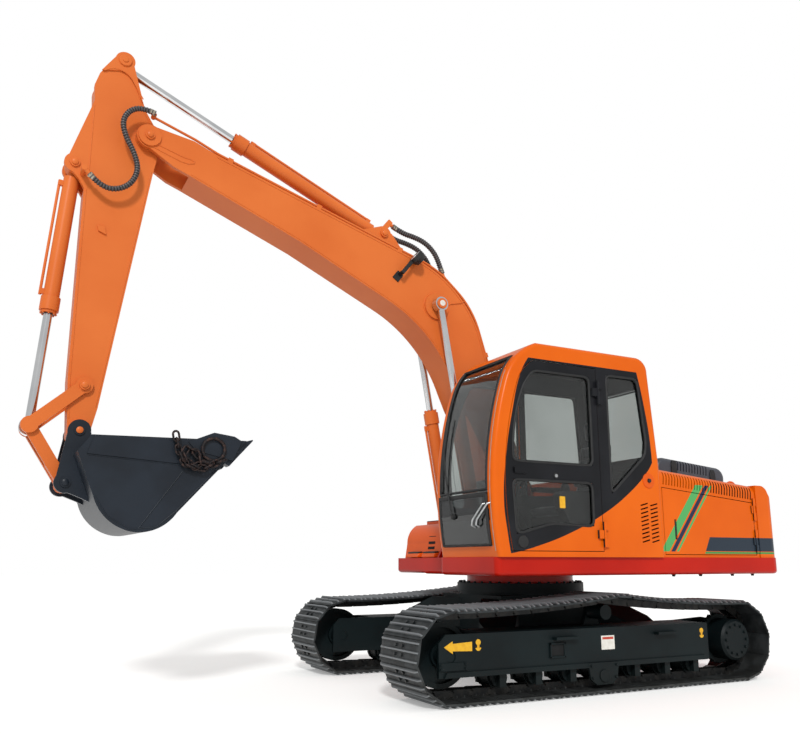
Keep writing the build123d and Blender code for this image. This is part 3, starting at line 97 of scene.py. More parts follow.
def mixed(tree, share, first, second):
    """Two colours mixed by a share."""
    return node(tree, "ShaderNodeMix", {"Factor": share, 6: first, 7: second}, data_type="RGBA").outputs[2]


def blotches(tree, place, size, first, second, low=0.4, high=0.62, detail=4.0):
    """Two colours in soft patches of about a size in metres."""
    noise = node(tree, "ShaderNodeTexNoise", {"Vector": place, "Scale": 1 / size, "Detail": detail})
    share = node(tree, "ShaderNodeMapRange",
                 {"Value": noise.outputs["Fac"], "From Min": low, "From Max": high})
    return mixed(tree, share.outputs["Result"], first, second)


def mottled(name, roughness, patch, light, dark, skin=None, **shader):
    """A material in two close shades, in soft patches of a size in metres; skin is its grain."""
    material, tree, surface, place = finish_material(name, roughness, **shader)
    shades = blotches(tree, place, patch, linear(light), linear(dark))
    tree.links.new(shades, surface.inputs["Base Color"])
    if skin:
        grain(tree, surface, place, *skin)
    return material


def give(material, *names):
    """Paints CAD nodes in one material."""
    for name in names:
        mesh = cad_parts[name].data
        mesh.materials.clear()
        mesh.materials.append(material)


def dusted(tree, place, colour, dust, top, amount):
    """A colour with dried dust on it, from a height in metres down to the ground."""
    height = node(tree, "ShaderNodeSeparateXYZ", {"Vector": place}).outputs["Z"]
    low = node(tree, "ShaderNodeMapRange",
               {"Value": height, "From Min": top, "From Max": 0.03, "To Max": amount})
    speckle = node(tree, "ShaderNodeTexNoise", {"Vector": place, "Scale": 9.0, "Detail": 6.0})
    share = node(tree, "ShaderNodeMath", {0: low.outputs["Result"], 1: speckle.outputs["Fac"]},
                 operation="MULTIPLY")
    return mixed(tree, share.outputs[0], colour, linear(dust))


# Chassis paint: satin, almost black with a blue-green cast; dust lightens it below 0.5 m.
chassis_paint, tree, surface, place = finish_material("chassis paint, satin blue-black", 0.5,
                                                      Specular_IOR_Level=0.18)
colour = blotches(tree, place, 0.5, linear("#091214"), linear("#0F1A1C"))
tree.links.new(dusted(tree, place, colour, "#4A463D", 0.3, 0.12), surface.inputs["Base Color"])
grain(tree, surface, place, 0.012, 0.0004)
give(chassis_paint, "track_frame_left", "track_frame_right", "carbody", "slew_ring",
     "rollers_left", "rollers_right", "idler_left", "idler_right", "sprocket_left", "sprocket_right")


def in_scene(name, data):
    """A new object in the scene."""
    made = bpy.data.objects.new(name.replace(" ", "_"), data)
    bpy.context.scene.collection.objects.link(made)
    return made


def piece(name, shape, body, material, bevel=0.0, sharp=32):
    """A finished piece from a bmesh: normals out, its edges softened, painted, riding on a body."""
    bmesh.ops.remove_doubles(shape, verts=shape.verts, dist=1e-6)
    bmesh.ops.recalc_face_normals(shape, faces=shape.faces)
    mesh = bpy.data.meshes.new(name)
    shape.to_mesh(mesh)
    shape.free()
    mesh.materials.append(material)
    mesh.shade_smooth()
    mesh.set_sharp_from_angle(angle=math.radians(sharp))
    made = in_scene(name, mesh)
    if bevel:
        softened = made.modifiers.new("softened edges", "BEVEL")
        softened.width, softened.segments, softened.limit_method = bevel, 2, "ANGLE"
        softened.angle_limit = math.radians(35)
    if body:
        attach(made, body)
    return made


def side(x=0.0, z=0.0, turn=0.0):
    """The place of a side view: its x runs up along a turn in degrees, its y to the cab side."""
    return Matrix.Translation((slew_x + x, 0, z)) @ Matrix.Rotation(-math.radians(turn), 4, "Y")


def plate(shape, outline, low, high, place):
    """Adds a plate to a bmesh: an outline in a side view, between two distances to the cab side."""
    ends = [[shape.verts.new(place @ Vector((x, y, z))) for x, z in outline] for y in (low, high)]
    for end in ends:
        shape.faces.new(end)
    for i in range(len(outline)):
        shape.faces.new((ends[0][i - 1], ends[1][i - 1], ends[1][i], ends[0][i]))


def rod(shape, start, end, radius, end_radius=None, sides=20):
    """Adds a round bar or cone to a bmesh, from point to point."""
    start, end = Vector(start), Vector(end)
    turn = (end - start).to_track_quat("Z", "Y").to_matrix().to_4x4()
    bmesh.ops.create_cone(shape, cap_ends=True, segments=sides, radius1=radius,
                          radius2=radius if end_radius is None else end_radius,
                          depth=(end - start).length,
                          matrix=Matrix.Translation((start + end) / 2) @ turn)


def ring_of(centre, radius, count, start=0.0):
    """Points round a centre of a side view."""
    turns = [math.radians(start) + 2 * math.pi * i / count for i in range(count)]
    return [(centre[0] + radius * math.cos(t), centre[1] + radius * math.sin(t)) for t in turns]


ground_view = side()
guard, holes = bmesh.new(), bmesh.new()
for way in (1, -1):
    plate(guard, [(-0.1, 0.24), (0.22, 0.24), (0.2, 0.11), (0.14, 0.065), (-0.02, 0.065), (-0.08, 0.11)],
          way * 1.2, way * 1.222, ground_view)
    rod(guard, (slew_x + 0.06, way * 1.215, 0.135), (slew_x + 0.06, way * 1.232, 0.135), 0.05)
    for low, high in ((0.435, 0.45), (0.575, 0.59)):
        plate(guard, [(low, 0.295), (high, 0.295), (high, 0.41), (low, 0.41)],
              way * 1.195, way * 1.212, ground_view)
    for low, high in ((0.295, 0.31), (0.395, 0.41)):
        plate(guard, [(0.435, low), (0.59, low), (0.59, high), (0.435, high)],
              way * 1.195, way * 1.212, ground_view)
    plate(holes, [(0.45, 0.31), (0.575, 0.31), (0.575, 0.395), (0.45, 0.395)],
          way * 1.195, way * 1.2015, ground_view)
    plate(guard, [(1.36, 0.25), (1.6, 0.25), (1.6, 0.31), (1.36, 0.31)], way * 1.2, way * 1.21, ground_view)
piece("track frame guards and covers", guard, "undercarriage", chassis_paint, bevel=0.003)
# Flat black without a shine, so that the bottom of a deep hole reads as dark.
shadow_black = mottled("unlit cavity, flat black", 0.95, 0.05, "#08090A", "#0E1011")
piece("access holes in the track frames", holes, "undercarriage", shadow_black)


# Paint marks on the track frames.
# A travel arrow, four marks at the tie-down points and a blank plate, sprayed through
# stencils in chrome yellow, so that they lie a paint film above the chassis paint.
# Stencil paint: opaque and a little dusty, with a slight edge of its own thickness.
mark_yellow = mottled("stencil paint, chrome yellow", 0.5, 0.04, "#E9B21C", "#DDA215", skin=(0.004, 0.0003))
arrow = [(1.555, 0.42), (1.48, 0.462), (1.48, 0.443), (1.31, 0.452), (1.31, 0.384), (1.48, 0.39),
         (1.48, 0.37)]
# the frame's side stands at 1.2, and a paint film lies on it
film_base, film_top = 1.199, 1.2012
marks = bmesh.new()
for way in (1, -1):
    plate(marks, arrow, way * film_base, way * film_top, ground_view)
    for x in (1.255, -1.085):
        plate(marks, ring_of((x, 0.445), 0.022, 20), way * film_base, way * film_top, ground_view)
        plate(marks, [(x - 0.01, 0.424), (x + 0.01, 0.424), (x + 0.01, 0.385), (x - 0.01, 0.385)],
              way * film_base, way * film_top, ground_view)
        plate(marks, [(x - 0.026, 0.4), (x - 0.01, 0.384), (x + 0.01, 0.384), (x + 0.026, 0.4),
                      (x + 0.018, 0.408), (x, 0.394), (x - 0.018, 0.408)],
              way * film_base, way * 1.2013, ground_view)
piece("travel arrow and tie-down marks", marks, "undercarriage", mark_yellow)
# Enamelled plate: a clean pale field on the dark frame.
plate_white = mottled("enamelled aluminium plate, white", 0.35, 0.05, "#E6E4DC", "#D9D6CC")
blank, frame_line = bmesh.new(), bmesh.new()
for way in (1, -1):
    plate(blank, [(-0.08, 0.335), (0.06, 0.335), (0.06, 0.445), (-0.08, 0.445)],
          way * film_base, way * 1.202, ground_view)
    plate(frame_line, [(-0.068, 0.415), (0.048, 0.415), (0.048, 0.434), (-0.068, 0.434)],
          way * 1.2015, way * 1.2025, ground_view)
piece("blank rating plates", blank, "undercarriage", plate_white)
# Red enamel bar across the plate, where the lettering was.
plate_red = mottled("plate enamel, red", 0.35, 0.05, "#C2402A", "#B43A26")
piece("colour bars of the blank plates", frame_line, "undercarriage", plate_red)


# Tracks.
# Rolled triple-bar shoes on a sealed chain of forged links, laid as two loops round the
# idler and the drive: tight below, slack between the idler and the top roller.
shoe_half, shoe_count = 0.3, 46
wheel_x, axle_z, wrap_r = 1.5, 0.35, 0.3
crown, sag = (-0.1, 0.738), 0.022


def bow(first, middle, last, steps):
    """Points of the arc through three points of a side view, without the last one."""
    (ax, az), (bx, bz), (cx, cz) = first, middle, last
    turn = 2 * (ax * (bz - cz) + bx * (cz - az) + cx * (az - bz))
    a, b, c = ax * ax + az * az, bx * bx + bz * bz, cx * cx + cz * cz
    x = (a * (bz - cz) + b * (cz - az) + c * (az - bz)) / turn
    z = (a * (cx - bx) + b * (ax - cx) + c * (bx - ax)) / turn
    radius = math.hypot(ax - x, az - z)
    start, mid, end = (math.atan2(p[1] - z, p[0] - x) for p in (first, middle, last))
    through = (mid - start) % (2 * math.pi)
    sweep = (end - start) % (2 * math.pi)
    if through > sweep:
        sweep -= 2 * math.pi
    turns = [start + sweep * i / steps for i in range(steps)]
    return [(x + radius * math.cos(t), z + radius * math.sin(t)) for t in turns]


low_z, high_z = axle_z - wrap_r, axle_z + wrap_r
shoe_line = [(-wheel_x + 0.086, low_z)]
shoe_line += bow((wheel_x, low_z), (wheel_x + wrap_r, axle_z), (wheel_x, high_z), 40)
shoe_line += bow((wheel_x, high_z), ((wheel_x + crown[0]) / 2, (high_z + crown[1]) / 2 - sag), crown, 24)
shoe_line += bow(crown, ((crown[0] - wheel_x) / 2, (high_z + crown[1]) / 2 - sag), (-wheel_x, high_z), 24)
shoe_line += bow((-wheel_x, high_z), (-wheel_x - wrap_r, axle_z), (-wheel_x, low_z), 40)
shoe_line += [(-wheel_x, low_z)]
loop_length = sum(math.dist(a, b) for a, b in zip(shoe_line, shoe_line[1:] + shoe_line[:1]))
pitch = loop_length / shoe_count


def growth(name, **inputs):
    """A new tree of geometry nodes: the tree and the sockets of its named inputs."""
    tree = bpy.data.node_groups.new(name, "GeometryNodeTree")
    tree.interface.new_socket("Geometry", in_out="INPUT", socket_type="NodeSocketGeometry")
    for label, kind in inputs.items():
        tree.interface.new_socket(label, in_out="INPUT", socket_type="NodeSocket" + kind)
    tree.interface.new_socket("Geometry", in_out="OUTPUT", socket_type="NodeSocketGeometry")
    return tree, tree.nodes.new("NodeGroupInput").outputs


def ends_in(tree, copies, finish):
    """Ends a tree: its copies made real and painted."""
    real = node(tree, "GeometryNodeRealizeInstances", {"Geometry": copies})
    painted = node(tree, "GeometryNodeSetMaterial", {"Geometry": real.outputs[0], "Material": finish})
    node(tree, "NodeGroupOutput", {"Geometry": painted.outputs[0]})


def mesh_of(base):
    """The plain mesh of an object as its modifiers leave it."""
    now = bpy.context.evaluated_depsgraph_get()
    return bpy.data.meshes.new_from_object(base.evaluated_get(now), depsgraph=now)


def grown(name, base, tree, body, sharp=32, **inputs):
    """The plain mesh that a tree grows on a base, riding on a body; the base goes."""
    growing = base.modifiers.new("growth", "NODES")
    growing.node_group = tree
    for item in tree.interface.items_tree:
        if item.in_out == "INPUT" and item.name in inputs:
            growing[item.identifier] = inputs[item.name]
    mesh = mesh_of(base)
    base.modifiers.remove(growing)
    bpy.data.objects.remove(base)
    mesh.name = name
    mesh.shade_smooth()
    mesh.set_sharp_from_angle(angle=math.radians(sharp))
    made = in_scene(name, mesh)
    if body:
        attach(made, body)
    return made


def line_object(name, points, closed=False):
    """A curve object of straight runs through points."""
    curve = bpy.data.curves.new(name, "CURVE")
    curve.dimensions = "3D"
    run = curve.splines.new("POLY")
    run.points.add(len(points) - 1)
    for at, point in zip(run.points, points):
        at.co = (*point, 1)
    run.use_cyclic_u = closed
    return in_scene(name, curve)


# The rolled plate with its three bars, cut down at both ends, seen along the track; z 0 is the
# pitch line and the outer side lies at negative z.
shoe = bmesh.new()
bars = (-0.38 * pitch, 0.0, 0.38 * pitch)
stations = []
wear = shoe.verts.layers.float.new("wear")
for y, rise in ((-shoe_half, 0.034), (-shoe_half + 0.03, 0.05), (shoe_half - 0.03, 0.05),
                (shoe_half, 0.034)):
    outline = [(-pitch / 2 - 0.014, 0.022), (-pitch / 2 - 0.014, 0.0295)]
    for x in bars:
        outline += [(x - 0.011, 0.0285), (x - 0.006, rise - 0.002), (x - 0.003, rise), (x + 0.004, rise),
                    (x + 0.01, 0.0285)]
    outline += [(pitch / 2 - 0.02, 0.0275), (pitch / 2 + 0.012, 0.0195), (pitch / 2 + 0.012, 0.014),
                (-pitch / 2 + 0.02, 0.014)]
    stations.append([shoe.verts.new((x, y, -z)) for x, z in outline])
    for vertex, (x, z) in zip(stations[-1], outline):
        vertex[wear] = 1.0 if z > rise - 0.003 else 0.0
for near, far in zip(stations, stations[1:]):
    for i in range(len(near)):
        shoe.faces.new((near[i - 1], far[i - 1], far[i], near[i]))
for end in (stations[0], stations[-1]):
    shoe.faces.new(end)
for x in (-0.19 * pitch, 0.19 * pitch):
    for y in (-0.052, 0.052):
        rod(shoe, (x, y, -0.028), (x, y, -0.042), 0.013, sides=6)
        rod(shoe, (x, y, -0.016), (x, y, 0.0), 0.014, sides=6)
shoe_shape = piece("one shoe", shoe, None, chassis_paint)
link = bmesh.new()
flat = Matrix()
for y in (-0.05, 0.05):
    plate(link, [(-pitch / 2 - 0.022, 0.012), (-pitch / 2 - 0.026, 0.03), (-pitch / 2 - 0.008, 0.043),
                 (pitch / 2 - 0.03, 0.045), (pitch / 2 + 0.0, 0.034), (pitch / 2 + 0.004, 0.012),
                 (pitch / 2 - 0.012, -0.014), (-pitch / 2 + 0.012, -0.014)],
          y - (0.013 if y < 0 else 0.0), y + (0.0 if y < 0 else 0.013), flat)
    plate(link, [(pitch / 2 - 0.03, 0.036), (pitch / 2 + 0.022, 0.038), (pitch / 2 + 0.03, 0.014),
                 (pitch / 2, -0.01), (pitch / 2 - 0.05, -0.014)],
          y - (0.0 if y < 0 else 0.012), y + (0.012 if y < 0 else 0.0), flat)
rod(link, (pitch / 2, -0.065, 0.012), (pitch / 2, 0.065, 0.012), 0.02, sides=12)
link_shape = piece("one link", link, None, chassis_paint)

track_tree, given = growth("copies along a track", Count="Int", Copy="Object", Finish="Material")
spots = node(track_tree, "GeometryNodeCurveToPoints",
             {"Curve": given["Geometry"], "Count": given["Count"]}, mode="COUNT")
along = node(track_tree, "FunctionNodeAlignRotationToVector", {"Vector": spots.outputs["Tangent"]},
             axis="X", pivot_axis="Y")
copy = node(track_tree, "GeometryNodeObjectInfo", {"Object": given["Copy"]}, transform_space="ORIGINAL")
laid = node(track_tree, "GeometryNodeInstanceOnPoints",
            {"Points": spots.outputs["Points"], "Instance": copy.outputs["Geometry"],
             "Rotation": along.outputs[0]})
ends_in(track_tree, laid.outputs[0], given["Finish"])

# Rolled steel: mill scale that is rubbed bright on the bars, with dry dust in the corners.
shoe_steel, tree, surface, place = finish_material("rolled shoe steel, black scale", 0.52, Metallic=0.4)
colour = blotches(tree, place, 0.12, linear("#1F2325"), linear("#383C3E"), detail=6.0)
worn = node(tree, "ShaderNodeAttribute", attribute_name="wear").outputs["Fac"]
colour = mixed(tree, worn, colour, linear("#7D8184"))
tree.links.new(dusted(tree, place, colour, "#6A6254", 0.6, 0.15), surface.inputs["Base Color"])
grain(tree, surface, place, 0.008, 0.0006)
# Forged links: darker than the shoes and damp with oil.
link_steel = mottled("forged link steel, oiled", 0.45, 0.06, "#17191A", "#2B2A28", skin=(0.006, 0.0005),
                     Metallic=0.5)
for name, y in (("left", 1.0), ("right", -1.0)):
    for copied, shape, steel in (("shoes", shoe_shape, shoe_steel), ("chain", link_shape, link_steel)):
        loop = line_object("track line", [(slew_x + x, y, z) for x, z in shoe_line], closed=True)
        laid_track = grown(f"track {copied} {name}", loop, track_tree, "undercarriage",
                           Count=shoe_count, Copy=shape, Finish=steel)
        if copied == "shoes":
            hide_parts(f"track_{name}")
for shape in (shoe_shape, link_shape):
    bpy.data.objects.remove(shape)


# Bolts of the undercarriage.
# Hexagon flange bolts, zinc plated and then painted over with the frames: a ring in each hub
# cover, four in each guard and cover plate, and a circle of them in the turning joint.
bolt_tree, given = growth("bolts on points", Bolt="Object", Finish="Material")
points = node(bolt_tree, "GeometryNodeMeshToPoints", {"Mesh": given["Geometry"]})
outward = node(bolt_tree, "GeometryNodeInputNamedAttribute", {"Name": "outward"}, data_type="FLOAT_VECTOR")
up = node(bolt_tree, "FunctionNodeAlignRotationToVector", {"Vector": outward.outputs["Attribute"]},
          axis="Z")
width = node(bolt_tree, "GeometryNodeInputNamedAttribute", {"Name": "width"}, data_type="FLOAT")
head = node(bolt_tree, "GeometryNodeObjectInfo", {"Object": given["Bolt"]}, transform_space="ORIGINAL")
set_in = node(bolt_tree, "GeometryNodeInstanceOnPoints",
              {"Points": points.outputs[0], "Instance": head.outputs["Geometry"], "Rotation": up.outputs[0],
               "Scale": width.outputs["Attribute"]})
ends_in(bolt_tree, set_in.outputs[0], given["Finish"])
hexagon, round_head = bmesh.new(), bmesh.new()
rod(hexagon, (0, 0, -0.1), (0, 0, 0.12), 0.62, sides=16)
rod(hexagon, (0, 0, 0.12), (0, 0, 0.55), 0.5, sides=6)
rod(hexagon, (0, 0, 0.55), (0, 0, 0.62), 0.43, 0.36, sides=12)
rod(round_head, (0, 0, -0.1), (0, 0, 0.2), 0.5, sides=20)
rod(round_head, (0, 0, 0.2), (0, 0, 0.32), 0.5, 0.3, sides=20)
hexagon_head = piece("hexagon head", hexagon, None, chassis_paint)
round_cap = piece("round head", round_head, None, chassis_paint)


def bolted(name, head, spots, body, material):
    """Bolt heads at spots, each a point, its outward direction and its width."""
    mesh = bpy.data.meshes.new(name)
    mesh.from_pydata([spot[0] for spot in spots], [], [])
    outward = mesh.attributes.new("outward", "FLOAT_VECTOR", "POINT")
    outward.data.foreach_set("vector", [v for spot in spots for v in spot[1]])
    width = mesh.attributes.new("width", "FLOAT", "POINT")
    width.data.foreach_set("value", [spot[2] for spot in spots])
    return grown(name, in_scene(name, mesh), bolt_tree, body, Bolt=head, Finish=material)


frame_bolts = []
for way in (1, -1):
    frame_bolts += [((slew_x + x, way * 1.215, z), (0, way, 0), 0.022)
                    for x, z in ring_of((-1.5, 0.35), 0.128, 12)]
    frame_bolts += [((slew_x + x, way * 1.222, z), (0, way, 0), 0.02)
                    for x, z in ((-0.07, 0.215), (0.19, 0.215), (-0.06, 0.12), (0.18, 0.12))]
    frame_bolts += [((slew_x + x, way * 1.21, z), (0, way, 0), 0.018)
                    for x, z in ((1.375, 0.265), (1.585, 0.265), (1.375, 0.295), (1.585, 0.295))]
frame_bolts += [((slew_x + x, y, 0.85), (0, 0, 1), 0.026) for x, y in ring_of((0, 0), 0.575, 40)]
bolted("undercarriage bolts", hexagon_head, frame_bolts, "undercarriage", chassis_paint)


# Turning deck, hood, counterweight, doors, tool box and tank.
# Pressed and welded steel panels in a gloss orange machine enamel, with a masked band and
# slanted stripes on the sides. The deck's skirt is the same paint in a deeper red, partly painted shade.
def enamel(name, light, dark, roughness=0.3):
    """Gloss machine enamel: sprayed, with a faint orange peel and a clear coat."""
    material, tree, surface, place = finish_material(name, roughness, Coat_Weight=0.06,
                                                     Coat_Roughness=0.2, Specular_IOR_Level=0.16)
    colour = blotches(tree, place, 0.9, linear(light), linear(dark))
    tree.links.new(colour, surface.inputs["Base Color"])
    grain(tree, surface, place, 0.012, 0.0002)
    return material, tree, surface, place, colour


def between(tree, value, low, high):
    """1 where a value lies between two bounds, and 0 elsewhere."""
    above = node(tree, "ShaderNodeMath", {0: value, 1: low}, operation="GREATER_THAN")
    below = node(tree, "ShaderNodeMath", {0: value, 1: high}, operation="LESS_THAN")
    return node(tree, "ShaderNodeMath", {0: above.outputs[0], 1: below.outputs[0]},
                operation="MULTIPLY").outputs[0]


def all_of(tree, *shares):
    """The product of several shares."""
    product = shares[0]
    for share in shares[1:]:
        product = node(tree, "ShaderNodeMath", {0: product, 1: share}, operation="MULTIPLY").outputs[0]
    return product


def slanted(tree, first, factor, second):
    """first + factor x second, for a mask whose edge leans."""
    return node(tree, "ShaderNodeMath", {0: second, 1: factor, 2: first},
                operation="MULTIPLY_ADD").outputs[0]


def inner_faces(tree, place, centre):
    """1 on a shell's inner faces, where the object's own normal turns to the middle of the shell."""
    normal = node(tree, "ShaderNodeTexCoord").outputs["Normal"]
    away = node(tree, "ShaderNodeVectorMath", {0: place, 1: centre}, operation="SUBTRACT")
    facing = node(tree, "ShaderNodeVectorMath", {0: away.outputs[0], 1: normal}, operation="DOT_PRODUCT")
    return node(tree, "ShaderNodeMath", {0: facing.outputs["Value"], 1: 0.0},
                operation="LESS_THAN").outputs[0]


# Masked paint: a slate band with a green line under it along the tail, and two slanted stripes
# on each door, all with sharp tape edges. The shell's inner side is painted a dark grey-brown as
# shade, as far back as the counterweight.
hood_enamel, tree, surface, place, colour = enamel("machine enamel, orange", "#E2640A", "#D95C05")
cut = node(tree, "ShaderNodeSeparateXYZ", {"Vector": place}).outputs
flank = node(tree, "ShaderNodeMath", {0: cut["Y"]}, operation="ABSOLUTE").outputs[0]
flank = between(tree, flank, 0.9, 1.3)
lean = slanted(tree, cut["X"], 0.79, cut["Z"])
band_end = slanted(tree, cut["X"], 0.5, cut["Z"])
tail = between(tree, band_end, -4.0, slew_x - 1.245 + 0.5 * 1.19)
panel = between(tree, cut["Z"], 1.13, 1.735)
# the stripes lean by 0.79 to a metre of height; their places are taken where that makes 0.9
lean_there = 0.9
for low, high, shade in ((-0.775, -0.675, "#55A860"), (-0.845, -0.795, "#26304A"),
                         (-0.89, -0.862, "#55A860")):
    stripe = between(tree, lean, slew_x + low + lean_there, slew_x + high + lean_there)
    colour = mixed(tree, all_of(tree, stripe, panel, flank), colour, linear(shade))
for low, high, shade in ((1.135, 1.262, "#2B3540"), (1.112, 1.13, "#3E8E4C")):
    colour = mixed(tree, all_of(tree, between(tree, cut["Z"], low, high), tail, flank),
                   colour, linear(shade))
counterweight_face = -3.027
ahead = between(tree, cut["X"], counterweight_face, 0.0)
# the shell's inner faces in a flat dark grey-brown: painted shade
painted_inner_shade = all_of(tree, inner_faces(tree, place, (slew_x - 1.3, 0, 1.45)), ahead)
colour = mixed(tree, painted_inner_shade, colour, linear("#1B1A19"))
tree.links.new(colour, surface.inputs["Base Color"])
give(hood_enamel, "hood", "counterweight", "side_door_left", "side_door_right")
# The same orange without a mask, a shade deeper on the tool box and the tank.
plain_enamel = enamel("machine enamel, plain orange", "#DD5A14", "#D45210")[0]
give(plain_enamel, "tool_box", "fuel_tank")
# Deep red, partly the skirt's own paint and partly painted shade under the deck's edge, so that the
# skirt stands as one clear line between the tracks and the orange.
red_enamel_with_shade = enamel("machine enamel, deep red with painted shade", "#BE1C06", "#AE1504")[0]
give(red_enamel_with_shade, "upper_frame")
# Grey enamel gone dull with heat and oil, to keep the engine bay quiet.
engine_paint = mottled("engine enamel, grey", 0.5, 0.15, "#5A5E62", "#484C50", skin=(0.01, 0.001))
give(engine_paint, "engine_block")
skirt_bolts = [((slew_x + x, way * 1.17, 0.931), (0, 0, -1), 0.03)
               for x in (-0.83, -1.16, -1.57, -1.84) for way in (1, -1)]
bolted("bolts under the skirt", hexagon_head, skirt_bolts, "upper", shadow_black)

# Rubber and moulded plastic: dull black, with a fine matt skin from the mould.
black_rubber = mottled("EPDM rubber, moulded", 0.6, 0.05, "#121314", "#1A1B1C", skin=(0.004, 0.0002))
# Brushed stainless: thin bright lines at the lock, the headrest and the grab bars.
bright_steel = mottled("stainless steel, brushed", 0.28, 0.02, "#C9CBCC", "#AEB1B3", Metallic=1.0)


def bead(name, points, radius, body, material, closed=False, sides=6):
    """A round bead of rubber, weld metal or rod along a line of points."""
    line = line_object(name, points, closed)
    line.data.bevel_depth = radius
    line.data.bevel_resolution = sides // 2 - 1
    line.data.use_fill_caps = not closed
    mesh = mesh_of(line)
    bpy.data.objects.remove(line)
    shape = bmesh.new()
    shape.from_mesh(mesh)
    bpy.data.meshes.remove(mesh)
    return piece(name, shape, body, material, sharp=60)


def fitted(low, high, corner, steps=5):
    """A rounded rectangle of a side view, from its low corner to its high corner."""
    (x0, z0), (x1, z1) = low, high
    points = []
    for (x, z), start in (((x1 - corner, z1 - corner), 0), ((x0 + corner, z1 - corner), 90),
                          ((x0 + corner, z0 + corner), 180), ((x1 - corner, z0 + corner), 270)):
        for i in range(steps + 1):
            turn = math.radians(start + 90 * i / steps)
            points.append((x + corner * math.cos(turn), z + corner * math.sin(turn)))
    return points


# Paddle latch in each door's recess, on its own black plastic tray.
for name, way in (("left", 1), ("right", -1)):
    latch = bmesh.new()
    plate(latch, fitted((-0.877, 1.237), (-0.853, 1.413), 0.008), way * 1.187, way * 1.19, ground_view)
    plate(latch, fitted((-0.874, 1.27), (-0.856, 1.39), 0.006), way * 1.189, way * 1.1985, ground_view)
    piece(f"door latch {name}", latch, f"side_door_{name}", black_rubber)

# Access cover with its catch, a small breather, and lifting eyes on the counterweight.
cover = bmesh.new()
rod(cover, (slew_x - 0.52, 1.249, 1.74), (slew_x - 0.52, 1.2585, 1.74), 0.068, 0.064, sides=40)
piece("round access cover", cover, "upper", plain_enamel, bevel=0.002)
catch = bmesh.new()
rod(catch, (slew_x - 0.52, 1.258, 1.74), (slew_x - 0.52, 1.272, 1.74), 0.02, 0.016, sides=24)
plate(catch, fitted((-0.665, 1.125), (-0.615, 1.178), 0.008), 1.2, 1.212, ground_view)
piece("catch and breather", catch, "upper", black_rubber, bevel=0.0015)
# Behind the louvre slots, a sheet in the deep red: painted shade inside the slots.
backing = bmesh.new()
plate(backing, [(-0.63, 1.16), (-0.39, 1.16), (-0.39, 1.58), (-0.63, 1.58)], 1.196, 1.2045, ground_view)
piece("louvre backing", backing, "upper", red_enamel_with_shade)
for y in (0.8, -0.8):
    eye = [(slew_x - 2.08 + 0.07 * math.cos(t), y, 1.755 + 0.075 * math.sin(t))
           for t in (math.pi * i / 12 for i in range(13))]
    bead("lifting eye", eye, 0.017, "upper", plain_enamel, sides=10)

# Engine cover: moulded composite, charcoal, with two draw latches of black rubber.
cover_paint = mottled("textured paint, charcoal grey", 0.42, 0.2, "#44474F", "#393C44",
                      skin=(0.006, 0.0004), Coat_Weight=0.1)
give(cover_paint, "engine_cover")
cover_low, cover_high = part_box("engine_cover")
straps = bmesh.new()
for share in (0.24, 0.8):
    x = cover_high[0] + (cover_low[0] - cover_high[0]) * share - slew_x
    top = cover_high[2] - 0.12 * share
    plate(straps, [(x - 0.035, top - 0.17), (x + 0.035, top - 0.17), (x + 0.035, top - 0.03),
                   (x + 0.02, top + 0.005), (x - 0.02, top + 0.005), (x - 0.035, top - 0.03)],
          0.872, 0.893, ground_view)
    rod(straps, (slew_x + x, 0.89, top - 0.13), (slew_x + x, 0.9, top - 0.13), 0.022, sides=16)
piece("draw latches of the cover", straps, "engine_cover", black_rubber, bevel=0.004)

# Tool box: its lid is a separate pressing, with a rubber joint, and its front ledge carries a pad.
lid_line = [(slew_x + x, y, 1.4665) for x, y in fitted((0.08, -1.165), (0.38, -0.385), 0.04)]
bead("lid joint of the tool box", lid_line, 0.004, "upper", black_rubber, closed=True)
step_pads = bmesh.new()
for y in (-0.95, -0.62):
    plate(step_pads, [(0.605, 1.085), (0.675, 1.085), (0.66, 1.125), (0.605, 1.13)],
          y - 0.13, y + 0.13, ground_view)
piece("front ledge lugs", step_pads, "upper", plain_enamel, bevel=0.008)
pads = bmesh.new()
for y in (-0.95, -0.62):
    plate(pads, [(0.607, 1.1295), (0.659, 1.1245), (0.656, 1.14), (0.607, 1.145)],
          y - 0.115, y + 0.115, ground_view)
piece("rubber treads of the ledge", pads, "upper", black_rubber, bevel=0.003)
vents = bmesh.new()
for x, z in ((0.593, 1.178), (0.5845, 1.23), (0.576, 1.283)):
    plate(vents, [(x - 0.02, z - 0.014), (x + 0.004, z - 0.014), (x + 0.001, z + 0.014),
                  (x - 0.02, z + 0.014)], -0.745, -0.61, ground_view)
piece("vent slots of the tool box", vents, "upper", shadow_black, bevel=0.002)


# Cab shell, door and their glass.
# Pressed steel frame in the orange enamel; the field round the side windows is masked off and
# sprayed gloss black, and the inside is painted dark grey as shade. Rubber profiles hold the panes.
def curve_through(tree, value, knots, low, high):
    """A smooth function of a value: knots (value, result) inside the bounds of both."""
    start, end = knots[0][0], knots[-1][0]
    share = node(tree, "ShaderNodeMapRange",
                 {"Value": value, "From Min": start, "From Max": end}).outputs["Result"]
    drawn = node(tree, "ShaderNodeFloatCurve", {"Value": share})
    line = drawn.mapping.curves[0]
    places = [((at - start) / (end - start), (result - low) / (high - low)) for at, result in knots]
    line.points[0].location, line.points[1].location = places[0], places[-1]
    for place in places[1:-1]:
        line.points.new(*place)
    drawn.mapping.update()
    return slanted_value(tree, drawn.outputs["Value"], low, high)


def slanted_value(tree, share, low, high):
    """A share stretched between two values."""
    return node(tree, "ShaderNodeMath", {0: share, 1: high - low, 2: low},
                operation="MULTIPLY_ADD").outputs[0]
